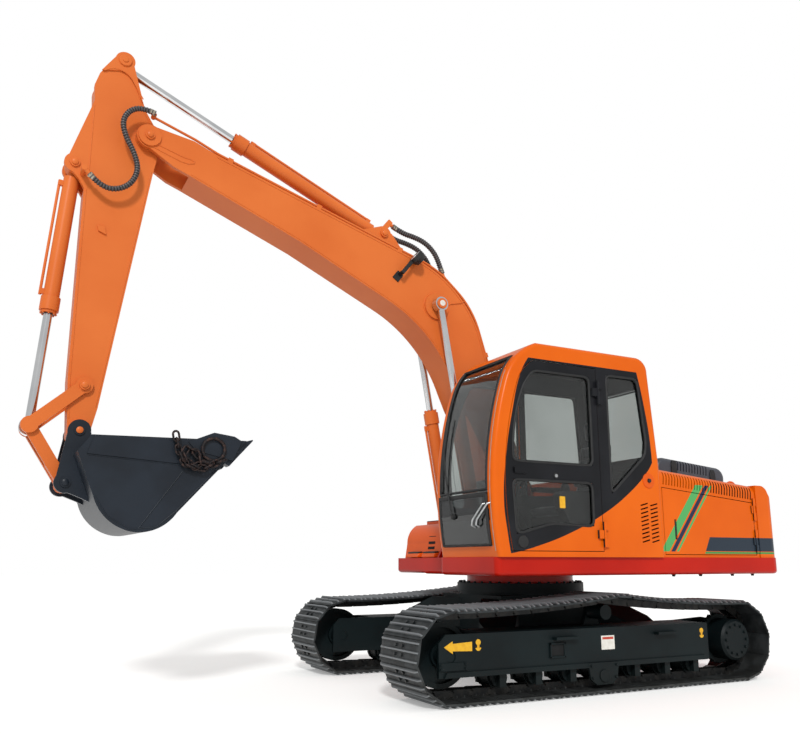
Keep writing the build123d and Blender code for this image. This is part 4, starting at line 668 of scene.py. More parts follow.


# Orange outside; the black field's edges are drawn as smooth curves along the cab and up its
# posts, and the inner faces are a flat dark grey of painted shade, so that the panes read as openings.
cab_left, cab_right, cab_mid = 1.25, 0.345, 0.7975
cab_enamel, tree, surface, place, colour = enamel("machine enamel, orange with black window field",
                                                  "#E2650A", "#DA5D05")
cut = node(tree, "ShaderNodeSeparateXYZ", {"Vector": place}).outputs
along_cab = node(tree, "ShaderNodeMath", {0: cut["X"], 1: slew_x}, operation="SUBTRACT").outputs[0]
low_edge = curve_through(tree, along_cab, [(-0.62, 1.98), (-0.567, 1.885), (-0.516, 1.82), (-0.3, 1.63),
                                           (0.0, 1.44), (0.35, 1.28), (0.7, 1.165), (0.965, 1.105),
                                           (1.1, 1.09)], 1.0, 2.1)
front_edge = curve_through(tree, cut["Z"], [(1.05, 0.955), (1.25, 0.99), (1.52, 1.02), (1.92, 0.982),
                                            (2.25, 0.915), (2.54, 0.835), (2.74, 0.72)], 0.6, 1.1)
rear_edge = curve_through(tree, cut["Z"], [(1.7, -0.575), (2.05, -0.572), (2.4, -0.525), (2.74, -0.45)],
                          -0.7, -0.3)
above = node(tree, "ShaderNodeMath", {0: cut["Z"], 1: low_edge}, operation="GREATER_THAN").outputs[0]
behind = node(tree, "ShaderNodeMath", {0: along_cab, 1: front_edge}, operation="LESS_THAN").outputs[0]
before = node(tree, "ShaderNodeMath", {0: along_cab, 1: rear_edge}, operation="GREATER_THAN").outputs[0]
below = node(tree, "ShaderNodeMath", {0: cut["Z"], 1: 2.715}, operation="LESS_THAN").outputs[0]
off_side = node(tree, "ShaderNodeMath", {0: cut["Y"], 1: cab_mid}, operation="SUBTRACT").outputs[0]
off_side = node(tree, "ShaderNodeMath", {0: off_side}, operation="ABSOLUTE").outputs[0]
flank = between(tree, off_side, 0.4515, 0.52)
field = all_of(tree, above, behind, before, below, flank)
bar = all_of(tree, between(tree, cut["Z"], 1.362, 1.455), between(tree, along_cab, 0.9, 1.3),
             between(tree, off_side, 0.0, 0.385))
black = node(tree, "ShaderNodeMath", {0: field, 1: bar}, operation="MAXIMUM").outputs[0]
# the cab's inner faces in a flat dark grey: painted shade
inside = inner_faces(tree, place, (slew_x + 0.2, cab_mid, 1.95))
colour = mixed(tree, black, colour, blotches(tree, place, 0.4, linear("#16171A"), linear("#1E1F23")))
colour = mixed(tree, inside, colour, blotches(tree, place, 0.02, linear("#26282B"), linear("#2E3033")))
tree.links.new(colour, surface.inputs["Base Color"])
give(cab_enamel, "cab_shell", "cab_door")

# Toughened glass, 6 mm: a faint grey-green tint from its thickness, with a clean gloss.
pane_glass = mottled("toughened glass, grey tint", 0.02, 0.8, "#C4C8C6", "#BDC1BF",
                     Transmission_Weight=1.0, IOR=1.45, Specular_IOR_Level=0.2)
give(pane_glass, "cab_glass", "door_glass", "rear_glass")

# The cab's front line from its floor to its roof, two arcs with a tighter bend at the brow.
front_low = bow((1.07, 1.0783), (1.122, 1.62), (0.975, 2.52), 60)
nose = Vector((0.975, 2.52))
lean_way = (nose - Vector(front_low[-1])).normalized()
square = Vector((-lean_way.y, lean_way.x))
crest = Vector((0.64, 2.86)) - nose
bend_r = crest.length_squared / (2 * square.dot(crest))
hub = nose + square * bend_r
middle_way = ((nose - hub).normalized() + (nose + crest - hub).normalized()).normalized()
front_high = bow(tuple(nose), tuple(hub + middle_way * abs(bend_r)), (0.64, 2.86), 24)
front_line = front_low + front_high


def front_run(low, high, drop=0.0):
    """Points of the cab's front line between two heights, set back by a drop."""
    return [(x - drop, z) for x, z in front_line if low < z < high]


# Outlines of the panes, seen from the side.
lower_pane = [(0.116, 1.33), (0.56, 1.345), (0.905, 1.255), (0.932, 1.69), (0.116, 1.69)]
upper_pane = [(0.1, 1.84), (0.918, 1.84)] + bow((0.918, 1.84), (0.893, 2.18), (0.795, 2.48), 8)[1:]
upper_pane += [(0.795, 2.48), (0.7, 2.61), (0.1, 2.61)]
quarter = [(-0.095, 1.61), (-0.5, 1.96), (-0.52, 2.08), (-0.455, 2.65), (-0.095, 2.65)]
right_rear = [(-0.54, 1.56), (0.16, 1.56), (0.16, 2.64), (-0.47, 2.64)]
right_front = [(0.23, 1.5), (0.96, 1.5)] + bow((0.96, 1.5), (0.958, 2.06), (0.82, 2.5), 8)[1:]
right_front += [(0.82, 2.5), (0.74, 2.64), (0.23, 2.64)]


def softened_corners(points, radius):
    """A closed outline with each of its sharp corners cut by a short curve."""
    made = []
    for before, at, after in zip(points[-1:] + points[:-1], points, points[1:] + points[:1]):
        at = Vector(at)
        ways = [(Vector(p) - at) for p in (before, after)]
        if ways[0].angle(ways[1]) > math.radians(165):
            made.append(tuple(at))
            continue
        first, last = (at + way.normalized() * min(radius, way.length / 2) for way in ways)
        for i in range(5):
            t = i / 4
            made.append(tuple(first * (1 - t) ** 2 + at * 2 * t * (1 - t) + last * t ** 2))
    return made


for name, outline, y, body in (
    ("lower door pane seal", lower_pane, cab_left - 0.004, "cab_door"),
    ("upper door pane seal", upper_pane, cab_left - 0.004, "cab_door"),
    ("quarter pane seal", quarter, cab_left - 0.006, "upper"),
    ("right rear pane seal", right_rear, cab_right + 0.006, "upper"),
    ("right front pane seal", right_front, cab_right + 0.006, "upper"),
):
    points = [(slew_x + x, y, z) for x, z in softened_corners(outline, 0.06)]
    bead(name, points, 0.012, body, black_rubber, closed=True)
glass_right, glass_left = 0.437, 1.158
for name, low, high, drop in (("lower windscreen seal", 1.16, 1.575, -0.006),
                              ("upper windscreen seal", 1.585, 2.745, 0.004)):
    rise = front_run(low + 0.012, high - 0.012, drop)
    loop = [(slew_x + x, glass_right, z) for x, z in rise]
    loop += [(slew_x + x, glass_left, z) for x, z in reversed(rise)]
    bead(name, loop, 0.015, "upper", black_rubber, closed=True)
hatch = [(slew_x + x, y, 2.862) for x, y in fitted((-0.25, 0.501), (0.33, 1.094), 0.03)]
bead("roof hatch seal", hatch, 0.009, "upper", black_rubber, closed=True)
back_line = [(-0.602 - 0.07 * (2.72 - z) / 0.84, z) for z in (1.972, 2.2, 2.4, 2.588)]
loop = [(slew_x + x, glass_right, z) for x, z in back_line]
loop += [(slew_x + x, glass_left, z) for x, z in reversed(back_line)]
bead("rear window seal", loop, 0.012, "upper", black_rubber, closed=True)
highlight_line = [(slew_x + x, 1.205, z) for x, z in front_run(1.12, 2.6, 0.002)]
# Painted highlight: a pale grey bead for the light line down the front pillar.
pillar_highlight = mottled("pale grey bead, painted highlight", 0.4, 0.05, "#8A867F", "#99958D")
bead("edge trim of the front pillar", highlight_line, 0.0045, "upper", pillar_highlight)

# The lower windscreen is a darker pane that slides in front of the cab's cross member, with its
# own rail along the top.
dark_glass = mottled("toughened glass, dark tint", 0.03, 0.8, "#777B7D", "#707476",
                     Transmission_Weight=1.0, IOR=1.45, Specular_IOR_Level=0.2)
screen, rail = bmesh.new(), bmesh.new()
for shape, low, high, near, far in ((screen, 1.165, 1.57, 0.006, 0.011), (rail, 1.552, 1.6, 0.0, 0.022)):
    rise = front_run(low, high)
    outline = [(x + near, z) for x, z in rise] + [(x + far, z) for x, z in reversed(rise)]
    plate(shape, outline, 0.43, 1.165, ground_view)
piece("lower windscreen", screen, "upper", dark_glass)
piece("rail of the lower windscreen", rail, "upper", black_rubber, bevel=0.003)

# Wiper: a painted arm and rubber blade parked upright on the right, on a motor under the rail;
# grab bars beside the lower pane; lock, key boss and a blank plate on the door.
blade = [(slew_x + x + 0.014, 0.5, z) for x, z in front_run(1.62, 2.3, -0.004)]
bead("wiper blade", blade, 0.006, "upper", black_rubber)
arm_line = [(slew_x + x + 0.026, 0.66 - 0.15 * (z - 1.42) / 0.55, z)
            for x, z in front_run(1.42, 1.97, -0.004)]
bead("wiper arm", arm_line, 0.007, "upper", black_rubber, sides=8)
boss = bmesh.new()
rod(boss, (slew_x + 1.11, 0.66, 1.41), (slew_x + 1.15, 0.66, 1.412), 0.026, 0.02, sides=20)
rod(boss, (slew_x + 0.85, 1.249, 1.197), (slew_x + 0.85, 1.262, 1.197), 0.052, 0.046, sides=32)
piece("wiper motor shaft and door stop", boss, "upper", black_rubber, bevel=0.002)
for y in (0.975, 1.04):
    grab = [(slew_x + 1.118, y + 0.165, 1.5), (slew_x + 1.148, y + 0.16, 1.49),
            (slew_x + 1.15, y + 0.01, 1.37), (slew_x + 1.15, y, 1.33), (slew_x + 1.11, y, 1.31)]
    bead("grab bar", grab, 0.008, "upper", bright_steel, sides=8)
lock = bmesh.new()
rod(lock, (slew_x + 0.5, 1.249, 1.735), (slew_x + 0.5, 1.2585, 1.735), 0.026, 0.023, sides=32)
plate(lock, fitted((0.8, 1.742), (0.92, 1.788), 0.012), 1.252, 1.2655, ground_view)
piece("lock barrel and pull of the door", lock, "cab_door", black_rubber, bevel=0.0015)
ring = bmesh.new()
rod(ring, (slew_x + 0.5, 1.258, 1.735), (slew_x + 0.5, 1.2605, 1.735), 0.014, sides=24)
piece("key ring of the lock", ring, "cab_door", bright_steel)
tag = bmesh.new()
plate(tag, fitted((0.401, 1.473), (0.458, 1.57), 0.006), 1.2358, 1.2372, ground_view)
piece("blank door plate", tag, "cab_door", mark_yellow)
for name, z, paint in (("low", 1.265, plain_enamel), ("high", 2.48, black_rubber)):
    screws = [((slew_x - 0.028, 1.2525, z + dz), (0, 1, 0), 0.02) for dz in (-0.075, 0.075)]
    bolted(f"{name} hinge screws", round_cap, screws, "upper", paint)


# Operator's place.
# Moulded black plastic consoles and mats, a suspension seat with foam cushions in woven
# cloth, levers with rubber gaiters and grips, and the monitor on its post.
# Moulded plastic: dark grey with a fine pebbled skin, dull behind the glass.
trim_plastic = mottled("moulded ABS, dark grey", 0.5, 0.1, "#232426", "#2B2C2F", skin=(0.003, 0.0003))
give(trim_plastic, "seat_base", "console_left", "console_right", "levers", "monitor")
# Woven seat cloth: charcoal with a soft sheen on its folds and a visible weave.
seat_cloth, tree, surface, place = finish_material("woven polyester seat cloth, charcoal", 0.9,
                                                   Sheen_Weight=0.3)
# threads of 1.6 mm, drawn at 4 mm so that the weave shows through the glass
thread = 0.004
wave = node(tree, "ShaderNodeTexWave", {"Vector": place, "Scale": 1 / thread / 20, "Distortion": 0.5},
            bands_direction="Y")
weft = node(tree, "ShaderNodeTexWave", {"Vector": place, "Scale": 1 / thread / 20, "Distortion": 0.5},
            bands_direction="X")
woven = node(tree, "ShaderNodeMath", {0: wave.outputs["Fac"], 1: weft.outputs["Fac"]}, operation="MAXIMUM")
tree.links.new(mixed(tree, woven.outputs[0], linear("#26282C"), linear("#4A4D53")),
               surface.inputs["Base Color"])
bump = node(tree, "ShaderNodeBump", {"Height": woven.outputs[0], "Distance": 0.0006, "Strength": 0.5})
tree.links.new(bump.outputs["Normal"], surface.inputs["Normal"])
seat_x, seat_foot, seat_half = 0.04, 1.1236, 0.2335


def cushion(name, outline, half, grooves, replaced):
    """A foam pad, its outline blown up as cloth and drawn in along its sewn grooves.

    A groove is an axis, a place on it, the side it lies on and its depth.
    """
    shape = bmesh.new()
    plate(shape, outline, cab_mid - half, cab_mid + half, ground_view)
    pad = piece(name, shape, None, seat_cloth)
    rounding = pad.modifiers.new("rounding", "BEVEL")
    rounding.width, rounding.segments, rounding.limit_method = 0.03, 4, "ANGLE"
    skin = pad.modifiers.new("skin", "REMESH")
    skin.mode, skin.voxel_size = "VOXEL", 0.008
    mesh = mesh_of(pad)
    pad.modifiers.clear()
    pad.data = mesh
    rest = [v.co.copy() for v in mesh.vertices]
    cloth = pad.modifiers.new("foam", "CLOTH")
    cloth.settings.use_pressure = True
    cloth.settings.uniform_pressure_force = 4
    cloth.settings.effector_weights.gravity = 0
    cloth.point_cache.frame_end = 20
    for step in range(1, 21):
        bpy.context.scene.frame_set(step)
    now = bpy.context.evaluated_depsgraph_get()
    blown = [v.co.copy() for v in pad.evaluated_get(now).data.vertices]
    pad.modifiers.clear()
    bpy.context.scene.frame_set(1)
    for vertex, at, to in zip(mesh.vertices, rest, blown):
        move = to - at
        vertex.co = at + move * min(1.0, 0.012 / max(move.length, 1e-9))
    for vertex in mesh.vertices:
        for axis, at, side_of, depth in grooves:
            gap = vertex.co[axis] - at
            if (vertex.co - side_of[0]).dot(side_of[1]) > 0:
                vertex.co -= side_of[1] * depth * math.exp(-(gap / 0.009) ** 2)
    mesh.materials.clear()
    mesh.materials.append(seat_cloth)
    mesh.shade_smooth()
    finer = pad.modifiers.new("finer", "SUBSURF")
    finer.levels = finer.render_levels = 1
    pad.data = mesh_of(pad)
    pad.modifiers.clear()
    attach(pad, "upper")
    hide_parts(replaced)


up = Vector((0, 0, 1))
lean_back = Vector((0.98, 0, 0.17))
cushion(
    "padded seat cushion",
    [(seat_x - 0.215, seat_foot + 0.312), (seat_x + 0.24, seat_foot + 0.312),
     (seat_x + 0.268, seat_foot + 0.385), (seat_x - 0.215, seat_foot + 0.372)],
    seat_half - 0.014,
    [(0, slew_x + x, (Vector((0, 0, seat_foot + 0.35)), up), 0.012) for x in (-0.05, 0.06, 0.17)]
    + [(1, y, (Vector((0, 0, seat_foot + 0.35)), up), 0.014) for y in (cab_mid - 0.15, cab_mid + 0.15)],
    "seat_cushion",
)
back_front = Vector((slew_x + seat_x - 0.345, 0, seat_foot + 0.65))
cushion(
    "padded seat back",
    [(seat_x - 0.245, seat_foot + 0.32), (seat_x - 0.248, seat_foot + 0.43),
     (seat_x - 0.343, seat_foot + 0.985), (seat_x - 0.402, seat_foot + 0.972),
     (seat_x - 0.335, seat_foot + 0.32)],
    seat_half - 0.026,
    [(2, seat_foot + z, (back_front, lean_back), 0.012) for z in (0.5, 0.62, 0.74, 0.86)]
    + [(1, y, (back_front, lean_back), 0.014) for y in (cab_mid - 0.14, cab_mid + 0.14)],
    "seat_back",
)
rest_shape = bmesh.new()
plate(rest_shape, [(seat_x - 0.36, seat_foot + 1.03), (seat_x - 0.35, seat_foot + 1.2),
                   (seat_x - 0.42, seat_foot + 1.21), (seat_x - 0.435, seat_foot + 1.03)],
      cab_mid - 0.13, cab_mid + 0.13, ground_view)
piece("headrest", rest_shape, "upper", seat_cloth, bevel=0.022)
stays = bmesh.new()
for y in (cab_mid - 0.06, cab_mid + 0.06):
    rod(stays, (slew_x + seat_x - 0.375, y, seat_foot + 0.96),
        (slew_x + seat_x - 0.39, y, seat_foot + 1.06), 0.006)
piece("headrest stays", stays, "upper", bright_steel)
grips = bmesh.new()
for way in (1, -1):
    y = cab_mid + way * (seat_half + 0.072)
    x = slew_x + seat_x + 0.25
    for low, high, start, end in ((0.5, 0.53, 0.042, 0.04), (0.53, 0.555, 0.034, 0.034),
                                  (0.555, 0.58, 0.03, 0.022), (0.6, 0.66, 0.018, 0.023),
                                  (0.66, 0.7, 0.023, 0.026), (0.7, 0.722, 0.026, 0.016)):
        rod(grips, (x, y, seat_foot + low), (x, y, seat_foot + high), start, end, sides=20)
    plate(grips, [(seat_x - 0.2, seat_foot + 0.545), (seat_x + 0.12, seat_foot + 0.55),
                  (seat_x + 0.13, seat_foot + 0.59), (seat_x - 0.2, seat_foot + 0.595)],
          y - 0.042, y + 0.042, ground_view)
    rod(grips, (slew_x + 0.6, cab_mid + way * 0.07, seat_foot + 0.57),
        (slew_x + 0.52, cab_mid + way * 0.07, seat_foot + 0.615), 0.019, sides=16)
    plate(grips, [(0.63, seat_foot + 0.02), (0.705, seat_foot + 0.015), (0.765, seat_foot + 0.112),
                  (0.755, seat_foot + 0.122)],
          cab_mid + way * 0.07 - 0.05, cab_mid + way * 0.07 + 0.05, ground_view)
piece("lever grips and armrests", grips, "upper", black_rubber, bevel=0.004)
screen_view = side(0.69, seat_foot + 0.56, -15)
screen = bmesh.new()
plate(screen, fitted((-0.0225, -0.058), (-0.0195, 0.058), 0.001),
      cab_right + 0.068, cab_right + 0.172, screen_view)
# Display glass: dark blue under a clear gloss, switched off.
screen_glass = mottled("display glass, dark blue", 0.1, 0.03, "#22303C", "#31485A", Coat_Weight=0.6)
piece("monitor screen", screen, "upper", screen_glass)
mat = bmesh.new()
plate(mat, [(-0.24, seat_foot), (0.98, seat_foot), (0.985, 1.13), (-0.24, 1.13)],
      cab_right + 0.05, cab_left - 0.05, ground_view)
piece("ribbed floor mat", mat, "upper", black_rubber)


# Boom, arm and their linkage.
# Box sections welded from steel plate, sprayed in the orange enamel once the pins' bores were
# machined. A thin weld seam shows along each plate's edge.
boom_view = side(0.1, 1.68, 37.94)
boom_length, boom_half = 4.603, 0.17
arm_pivot = boom_view @ Vector((boom_length, 0, 0))
arm_view = side(arm_pivot.x - slew_x, arm_pivot.z, -81.84)
arm_length, arm_half = 2.536, 0.105
bucket_pivot = arm_view @ Vector((arm_length, 0, 0))
bucket_view = side(bucket_pivot.x - slew_x, bucket_pivot.z, 181.4)
# A paler, flatter orange than the hood: painted light, the sunlit and hazy look of the boom's plates taken
# into their colour.
sunlit_boom_enamel = enamel("machine enamel, light orange", "#DA7133", "#D2682C", 0.4)[0]
give(sunlit_boom_enamel, "boom", "arm", "rocker", "bucket_link", "boom_cylinder_left_barrel",
     "boom_cylinder_right_barrel", "arm_cylinder_barrel", "bucket_cylinder_barrel", "boom_lines",
     "boom_base_pin", "boom_foot_pin", "arm_cylinder_pin", "arm_pin", "bucket_cylinder_pin", "rocker_pin")
# Hard chrome: mirror bright, the one polished metal on the front.
rod_chrome = mottled("hard chrome, ground and polished", 0.14, 0.3, "#E2E3E4", "#D3D5D7", Metallic=1.0)
give(rod_chrome, "boom_cylinder_left_rod", "boom_cylinder_right_rod", "arm_cylinder_rod",
     "bucket_cylinder_rod")


def on(view, points, y):
    """Points of a side view at a distance to the cab side, in the row frame."""
    return [(view @ Vector((x, y, z)))[:] for x, z in points]


boom_eye = (1.786, 0.827)
boom_top = [(0.85, 0.642), (1.29, 0.95)]
boom_top += bow((1.3, 0.957), (1.75, 1.097), (2.278, 1.005), 14) + [(2.278, 1.005), (4.12, 0.307)]
boom_bottom = [(0.985, 0.272), (1.14, 0.356)] + bow((1.15, 0.36), (1.64, 0.538), (2.19, 0.519), 12)
boom_bottom += [(2.19, 0.519), (3.13, 0.307), (4.16, 0.01)]
arm_seams = [
    [(-0.134, 0.466), (0.506, 0.372)],
    [(0.61, 0.368), (2.15, 0.146), (2.45, 0.088)],
    [(0.28, -0.08), (2.32, -0.08)],
    [(-0.59, 0.258), (-0.34, 0.143), (-0.24, 0.092), (-0.09, -0.035)],
]
boom_doubler = [(4.587, -0.034), (4.446, 0.021), (4.303, 0.078), (4.25, 0.11), (4.218, 0.12),
                (4.208, 0.105), (4.235, 0.066), (4.291, 0.032), (4.477, -0.036), (4.55, -0.058)]
arm_doubler = [(-0.46, 0.47)] + bow((-0.47, 0.45), (-0.515, 0.3), (-0.465, 0.225), 12) + [(-0.335, 0.115)]
for way in (1, -1):
    for line in (boom_top, boom_bottom):
        bead("weld seam of the boom", on(boom_view, line, way * boom_half), 0.005, "boom", sunlit_boom_enamel)
    bead("weld ring of the boom eye", on(boom_view, ring_of(boom_eye, 0.132, 28), way * boom_half),
         0.006, "boom", sunlit_boom_enamel, closed=True)
    bead("weld ring of the boom foot", on(boom_view, ring_of((0, 0), 0.168, 28), way * boom_half),
         0.005, "boom", sunlit_boom_enamel, closed=True)
    for line in arm_seams:
        bead("weld seam of the arm", on(arm_view, line, way * arm_half), 0.0045, "arm", sunlit_boom_enamel)
    bead("grease line", on(boom_view, [(1.6, 1.1), (1.612, 1.06), (1.69, 0.965), (1.705, 0.925)],
                           way * (boom_half + 0.006)), 0.004, "boom", sunlit_boom_enamel)
    bead("doubler of the boom tip", on(boom_view, boom_doubler, way * boom_half),
         0.006, "boom", sunlit_boom_enamel)
    bead("doubler of the arm tail", on(arm_view, arm_doubler, way * 0.117), 0.0045, "arm", sunlit_boom_enamel)

# Caps on the pins' ends, with a pale disc on the boom cylinders' upper pins, and two small lugs
# on the arm's side plates.
pin_ends = [
    # body, the pin's place, half its length
    ("boom", on(boom_view, [(boom_length, 0)], 0)[0], 0.2),
    ("boom", on(boom_view, [(2.611, 1.0328)], 0)[0], 0.12),
    ("arm", on(arm_view, [(0.415, 0.496)], 0)[0], 0.12),
    ("arm", on(arm_view, [(arm_length - 0.356, 0.035)], 0)[0], 0.16),
    ("arm", on(arm_view, [(arm_length, 0)], 0)[0], 0.215),
]
caps = {"boom": [], "arm": []}
for body, (x, y, z), half in pin_ends:
    for way in (1, -1):
        caps[body].append(((x, way * half, z), (0, way, 0), 0.05))
for body, spots in caps.items():
    bolted(f"pin caps of the {body}", round_cap, spots, body, sunlit_boom_enamel)
eye_x, _, eye_z = on(boom_view, [boom_eye], 0)[0]
eye_caps, eye_discs = bmesh.new(), bmesh.new()
for way in (1, -1):
    rod(eye_caps, (eye_x, way * 0.2865, eye_z), (eye_x, way * 0.3, eye_z), 0.052, 0.048, sides=36)
    rod(eye_discs, (eye_x, way * 0.2995, eye_z), (eye_x, way * 0.3035, eye_z), 0.03, 0.027, sides=28)
piece("caps of the boom cylinder pins", eye_caps, "boom", sunlit_boom_enamel, bevel=0.002)
tail_x, _, tail_z = on(arm_view, [(-0.621, 0.321)], 0)[0]
tail_caps = bmesh.new()
for way in (1, -1):
    rod(tail_caps, (tail_x, way * 0.1165, tail_z), (tail_x, way * 0.131, tail_z), 0.056, 0.05, sides=36)
    rod(tail_caps, (tail_x, way * 0.1305, tail_z), (tail_x, way * 0.139, tail_z), 0.024, 0.02, sides=24)
piece("caps of the arm tail pin", tail_caps, "arm", sunlit_boom_enamel, bevel=0.002)
lug = bmesh.new()
for way in (1, -1):
    plate(lug, [(0.872, 0.17), (0.94, 0.142), (0.925, 0.205), (0.885, 0.222)],
          way * 0.1045, way * 0.122, arm_view)
piece("lugs on the arm", lug, "arm", sunlit_boom_enamel, bevel=0.002)
piece("discs of the boom cylinder pins", eye_discs, "boom", plate_white)

# Cylinder glands: a ring of cap screws in each head, and a rubber wiper round the rod.
lower_eye = Vector((slew_x + 0.62, 0, 1.28))
upper_eye = Vector((eye_x, 0, eye_z))
jacks = [
    # body, start, end, distance to the cab side, barrel and rod radius, eye half width, travel, left out
    ("boom_barrel_left", lower_eye, upper_eye, 0.25, 0.06, 0.033, 0.036, 0.791, 0.092),
    ("boom_barrel_right", lower_eye, upper_eye, -0.25, 0.06, 0.033, 0.036, 0.791, 0.092),
    ("arm_barrel", boom_view @ Vector((2.611, 0, 1.0328)), arm_view @ Vector((-0.621, 0, 0.321)),
     0.0, 0.066, 0.036, 0.045, 0.689, 0.297),
    ("bucket_barrel", arm_view @ Vector((0.415, 0, 0.496)), arm_view @ Vector((arm_length + 0.018, 0, 0.341)),
     0.0, 0.06, 0.033, 0.038, 0.696, 0.131),
]
for body, start, end, y, barrel_r, rod_r, eye_half, travel, left_out in jacks:
    way = (end - start).normalized()
    reach = (end - start).length - travel - eye_half - 0.03 - left_out
    face = start + way * reach + Vector((0, y, 0))
    across = Vector((0, 1, 0))
    upright = way.cross(across)
    turns = [2 * math.pi * i / 8 for i in range(8)]
    spots = [((face + (across * math.cos(t) + upright * math.sin(t)) * (barrel_r - 0.006))[:],
              way[:], 0.017) for t in turns]
    bolted(f"gland screws {body}", hexagon_head, spots, body, sunlit_boom_enamel)
    wiper = [(face + way * 0.003 + (across * math.cos(t) + upright * math.sin(t)) * (rod_r + 0.0045))[:]
             for t in (2 * math.pi * i / 28 for i in range(28))]
    bead(f"rod wiper {body}", wiper, 0.0042, body, black_rubber, closed=True)

# Work lamp: cast black housing, with a white lens in a rubber ring.
give(black_rubber, "work_lamp")
lens_x, lens_y, lens_z = 2.232 + 0.034, 0.252, 1.01
lens = bmesh.new()
rod(lens, boom_view @ Vector((lens_x - 0.002, lens_y, lens_z)),
    boom_view @ Vector((lens_x + 0.003, lens_y, lens_z)), 0.062, 0.056, sides=40)
# Lamp lens: white with upright prisms, under a hard gloss.
lamp_glass, tree, surface, place = finish_material("prismed lamp lens, white", 0.15, Coat_Weight=0.8)
ribs = node(tree, "ShaderNodeTexWave", {"Vector": place, "Scale": 1 / 0.012 / 20}, bands_direction="Y")
tree.links.new(mixed(tree, ribs.outputs["Fac"], linear("#F0F1F0"), linear("#D6D9DA")),
               surface.inputs["Base Color"])
piece("lamp lens", lens, "boom", lamp_glass)
rim = [(boom_view @ Vector((lens_x, lens_y + 0.066 * math.cos(t), lens_z + 0.066 * math.sin(t))))[:]
       for t in (2 * math.pi * i / 40 for i in range(40))]
bead("lamp rim", rim, 0.006, "boom", black_rubber, closed=True)


# Hoses over the joints.
# Wire-braided rubber hoses in a spiral guard of black plastic, crimped into steel ferrules.
# They stand in open bows, stiff enough to carry themselves.
# Hose rubber: a dull black that shows between the rings of the guard.
hose_rubber = mottled("hose rubber, black", 0.55, 0.03, "#141516", "#1D1E1F", skin=(0.003, 0.0003))
# Spiral guard: black polyethylene, half gloss, lifted to a warm grey as a painted highlight on each ring.
guard_plastic_highlit = mottled("spiral guard, black polyethylene with painted highlight", 0.38, 0.03, "#4A4546", "#544E4E")
# Yellow passivated zinc: a warm pale glint at each end of a hose.
ferrule_zinc = mottled("zinc plate, yellow passivated", 0.35, 0.02, "#B9B2A0", "#A29A86", Metallic=1.0)
guard_tree, given = growth("guard rings along a hose", Spacing="Float", Ring="Object", Finish="Material")
spots = node(guard_tree, "GeometryNodeCurveToPoints",
             {"Curve": given["Geometry"], "Length": given["Spacing"]}, mode="LENGTH")
along = node(guard_tree, "FunctionNodeAlignRotationToVector", {"Vector": spots.outputs["Tangent"]},
             axis="Z")
ring_in = node(guard_tree, "GeometryNodeObjectInfo", {"Object": given["Ring"]}, transform_space="ORIGINAL")
laid = node(guard_tree, "GeometryNodeInstanceOnPoints",
            {"Points": spots.outputs["Points"], "Instance": ring_in.outputs["Geometry"],
             "Rotation": along.outputs[0]})
ends_in(guard_tree, laid.outputs[0], given["Finish"])
arm_hose_route = [(-0.189, 0.006), (-0.201, 0.105), (-0.138, 0.201), (-0.023, 0.236), (0.102, 0.185),
                  (0.217, 0.089), (0.353, 0.026), (0.5, 0.057), (0.59, 0.164), (0.59, 0.279),
                  (0.527, 0.369)]
boom_hose_route = [(2.59, 1.17), (2.478, 1.195), (2.372, 1.262), (2.25, 1.312), (2.12, 1.308),
                   (2.02, 1.262), (1.93, 1.205)]


def hose_line(name, points):
    """One smooth open spline with a hose's points as its control points."""
    curve = bpy.data.curves.new(name, "CURVE")
    curve.dimensions = "3D"
    curve.resolution_u = 12
    run = curve.splines.new("NURBS")
    run.points.add(len(points) - 1)
    for at, point in zip(run.points, points):
        at.co = (*point, 1)
    run.order_u = 3
    run.use_endpoint_u = True
    return in_scene(name, curve)


# half a section through a guard ring: how far it stands out of the hose, and its place along it
ring_profile = ((-0.001, -0.0072), (0.0036, -0.0052), (0.0048, 0), (0.0036, 0.0052), (-0.001, 0.0072))


def hose(name, replaced, points, diameter, bodies, bend=None):
    """A hose with its guard and ferrules on one body; given a bend, hose and guard stay unattached where they
    lie and each ferrule rides on its own body.
    """
    line = hose_line("hose line", points)
    path = [v.co.copy() for v in mesh_of(line).vertices]
    line.data.bevel_depth = diameter / 2
    line.data.bevel_resolution = 5
    line.data.use_fill_caps = True
    shape = bmesh.new()
    shape.from_mesh(mesh_of(line))
    bpy.data.objects.remove(line)
    tube = piece(name, shape, None, hose_rubber, sharp=60)
    ring = bmesh.new()
    stations = []
    for i in range(20):
        turn = 2 * math.pi * i / 20
        out = Vector((math.cos(turn), math.sin(turn), 0))
        stations.append([ring.verts.new(out * (diameter / 2 + rise) + Vector((0, 0, z)))
                         for rise, z in ring_profile])
    for near, far in zip(stations, stations[1:] + stations[:1]):
        for i in range(4):
            ring.faces.new((near[i], far[i], far[i + 1], near[i + 1]))
        ring.faces.new((near[4], far[4], far[0], near[0]))
    ring_shape = piece("guard ring", ring, None, guard_plastic_highlit)
    guard_line = hose_line("guard line", points)
    rings = grown(f"guard of {name}", guard_line, guard_tree, None, sharp=50, Spacing=0.022,
                  Ring=ring_shape, Finish=guard_plastic_highlit)
    bpy.data.objects.remove(ring_shape)
    for label, at, to, body in (("start", points[0], points[1], bodies[0]),
                                ("end", points[-1], points[-2], bodies[-1])):
        at, to = Vector(at), Vector(to)
        way = (to - at).normalized()
        crimp = bmesh.new()
        rod(crimp, at, at + way * 0.045, diameter / 2 + 0.0035, diameter / 2 + 0.003, sides=24)
        rod(crimp, at - way * 0.002, at + way * 0.012, diameter / 2 + 0.007, sides=6)
        piece(f"ferrule {label} of {name}", crimp, body, ferrule_zinc)
    for made in (tube, rings):
        if bend:
            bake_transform(made)
        else:
            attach(made, bodies[0])
    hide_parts(replaced)


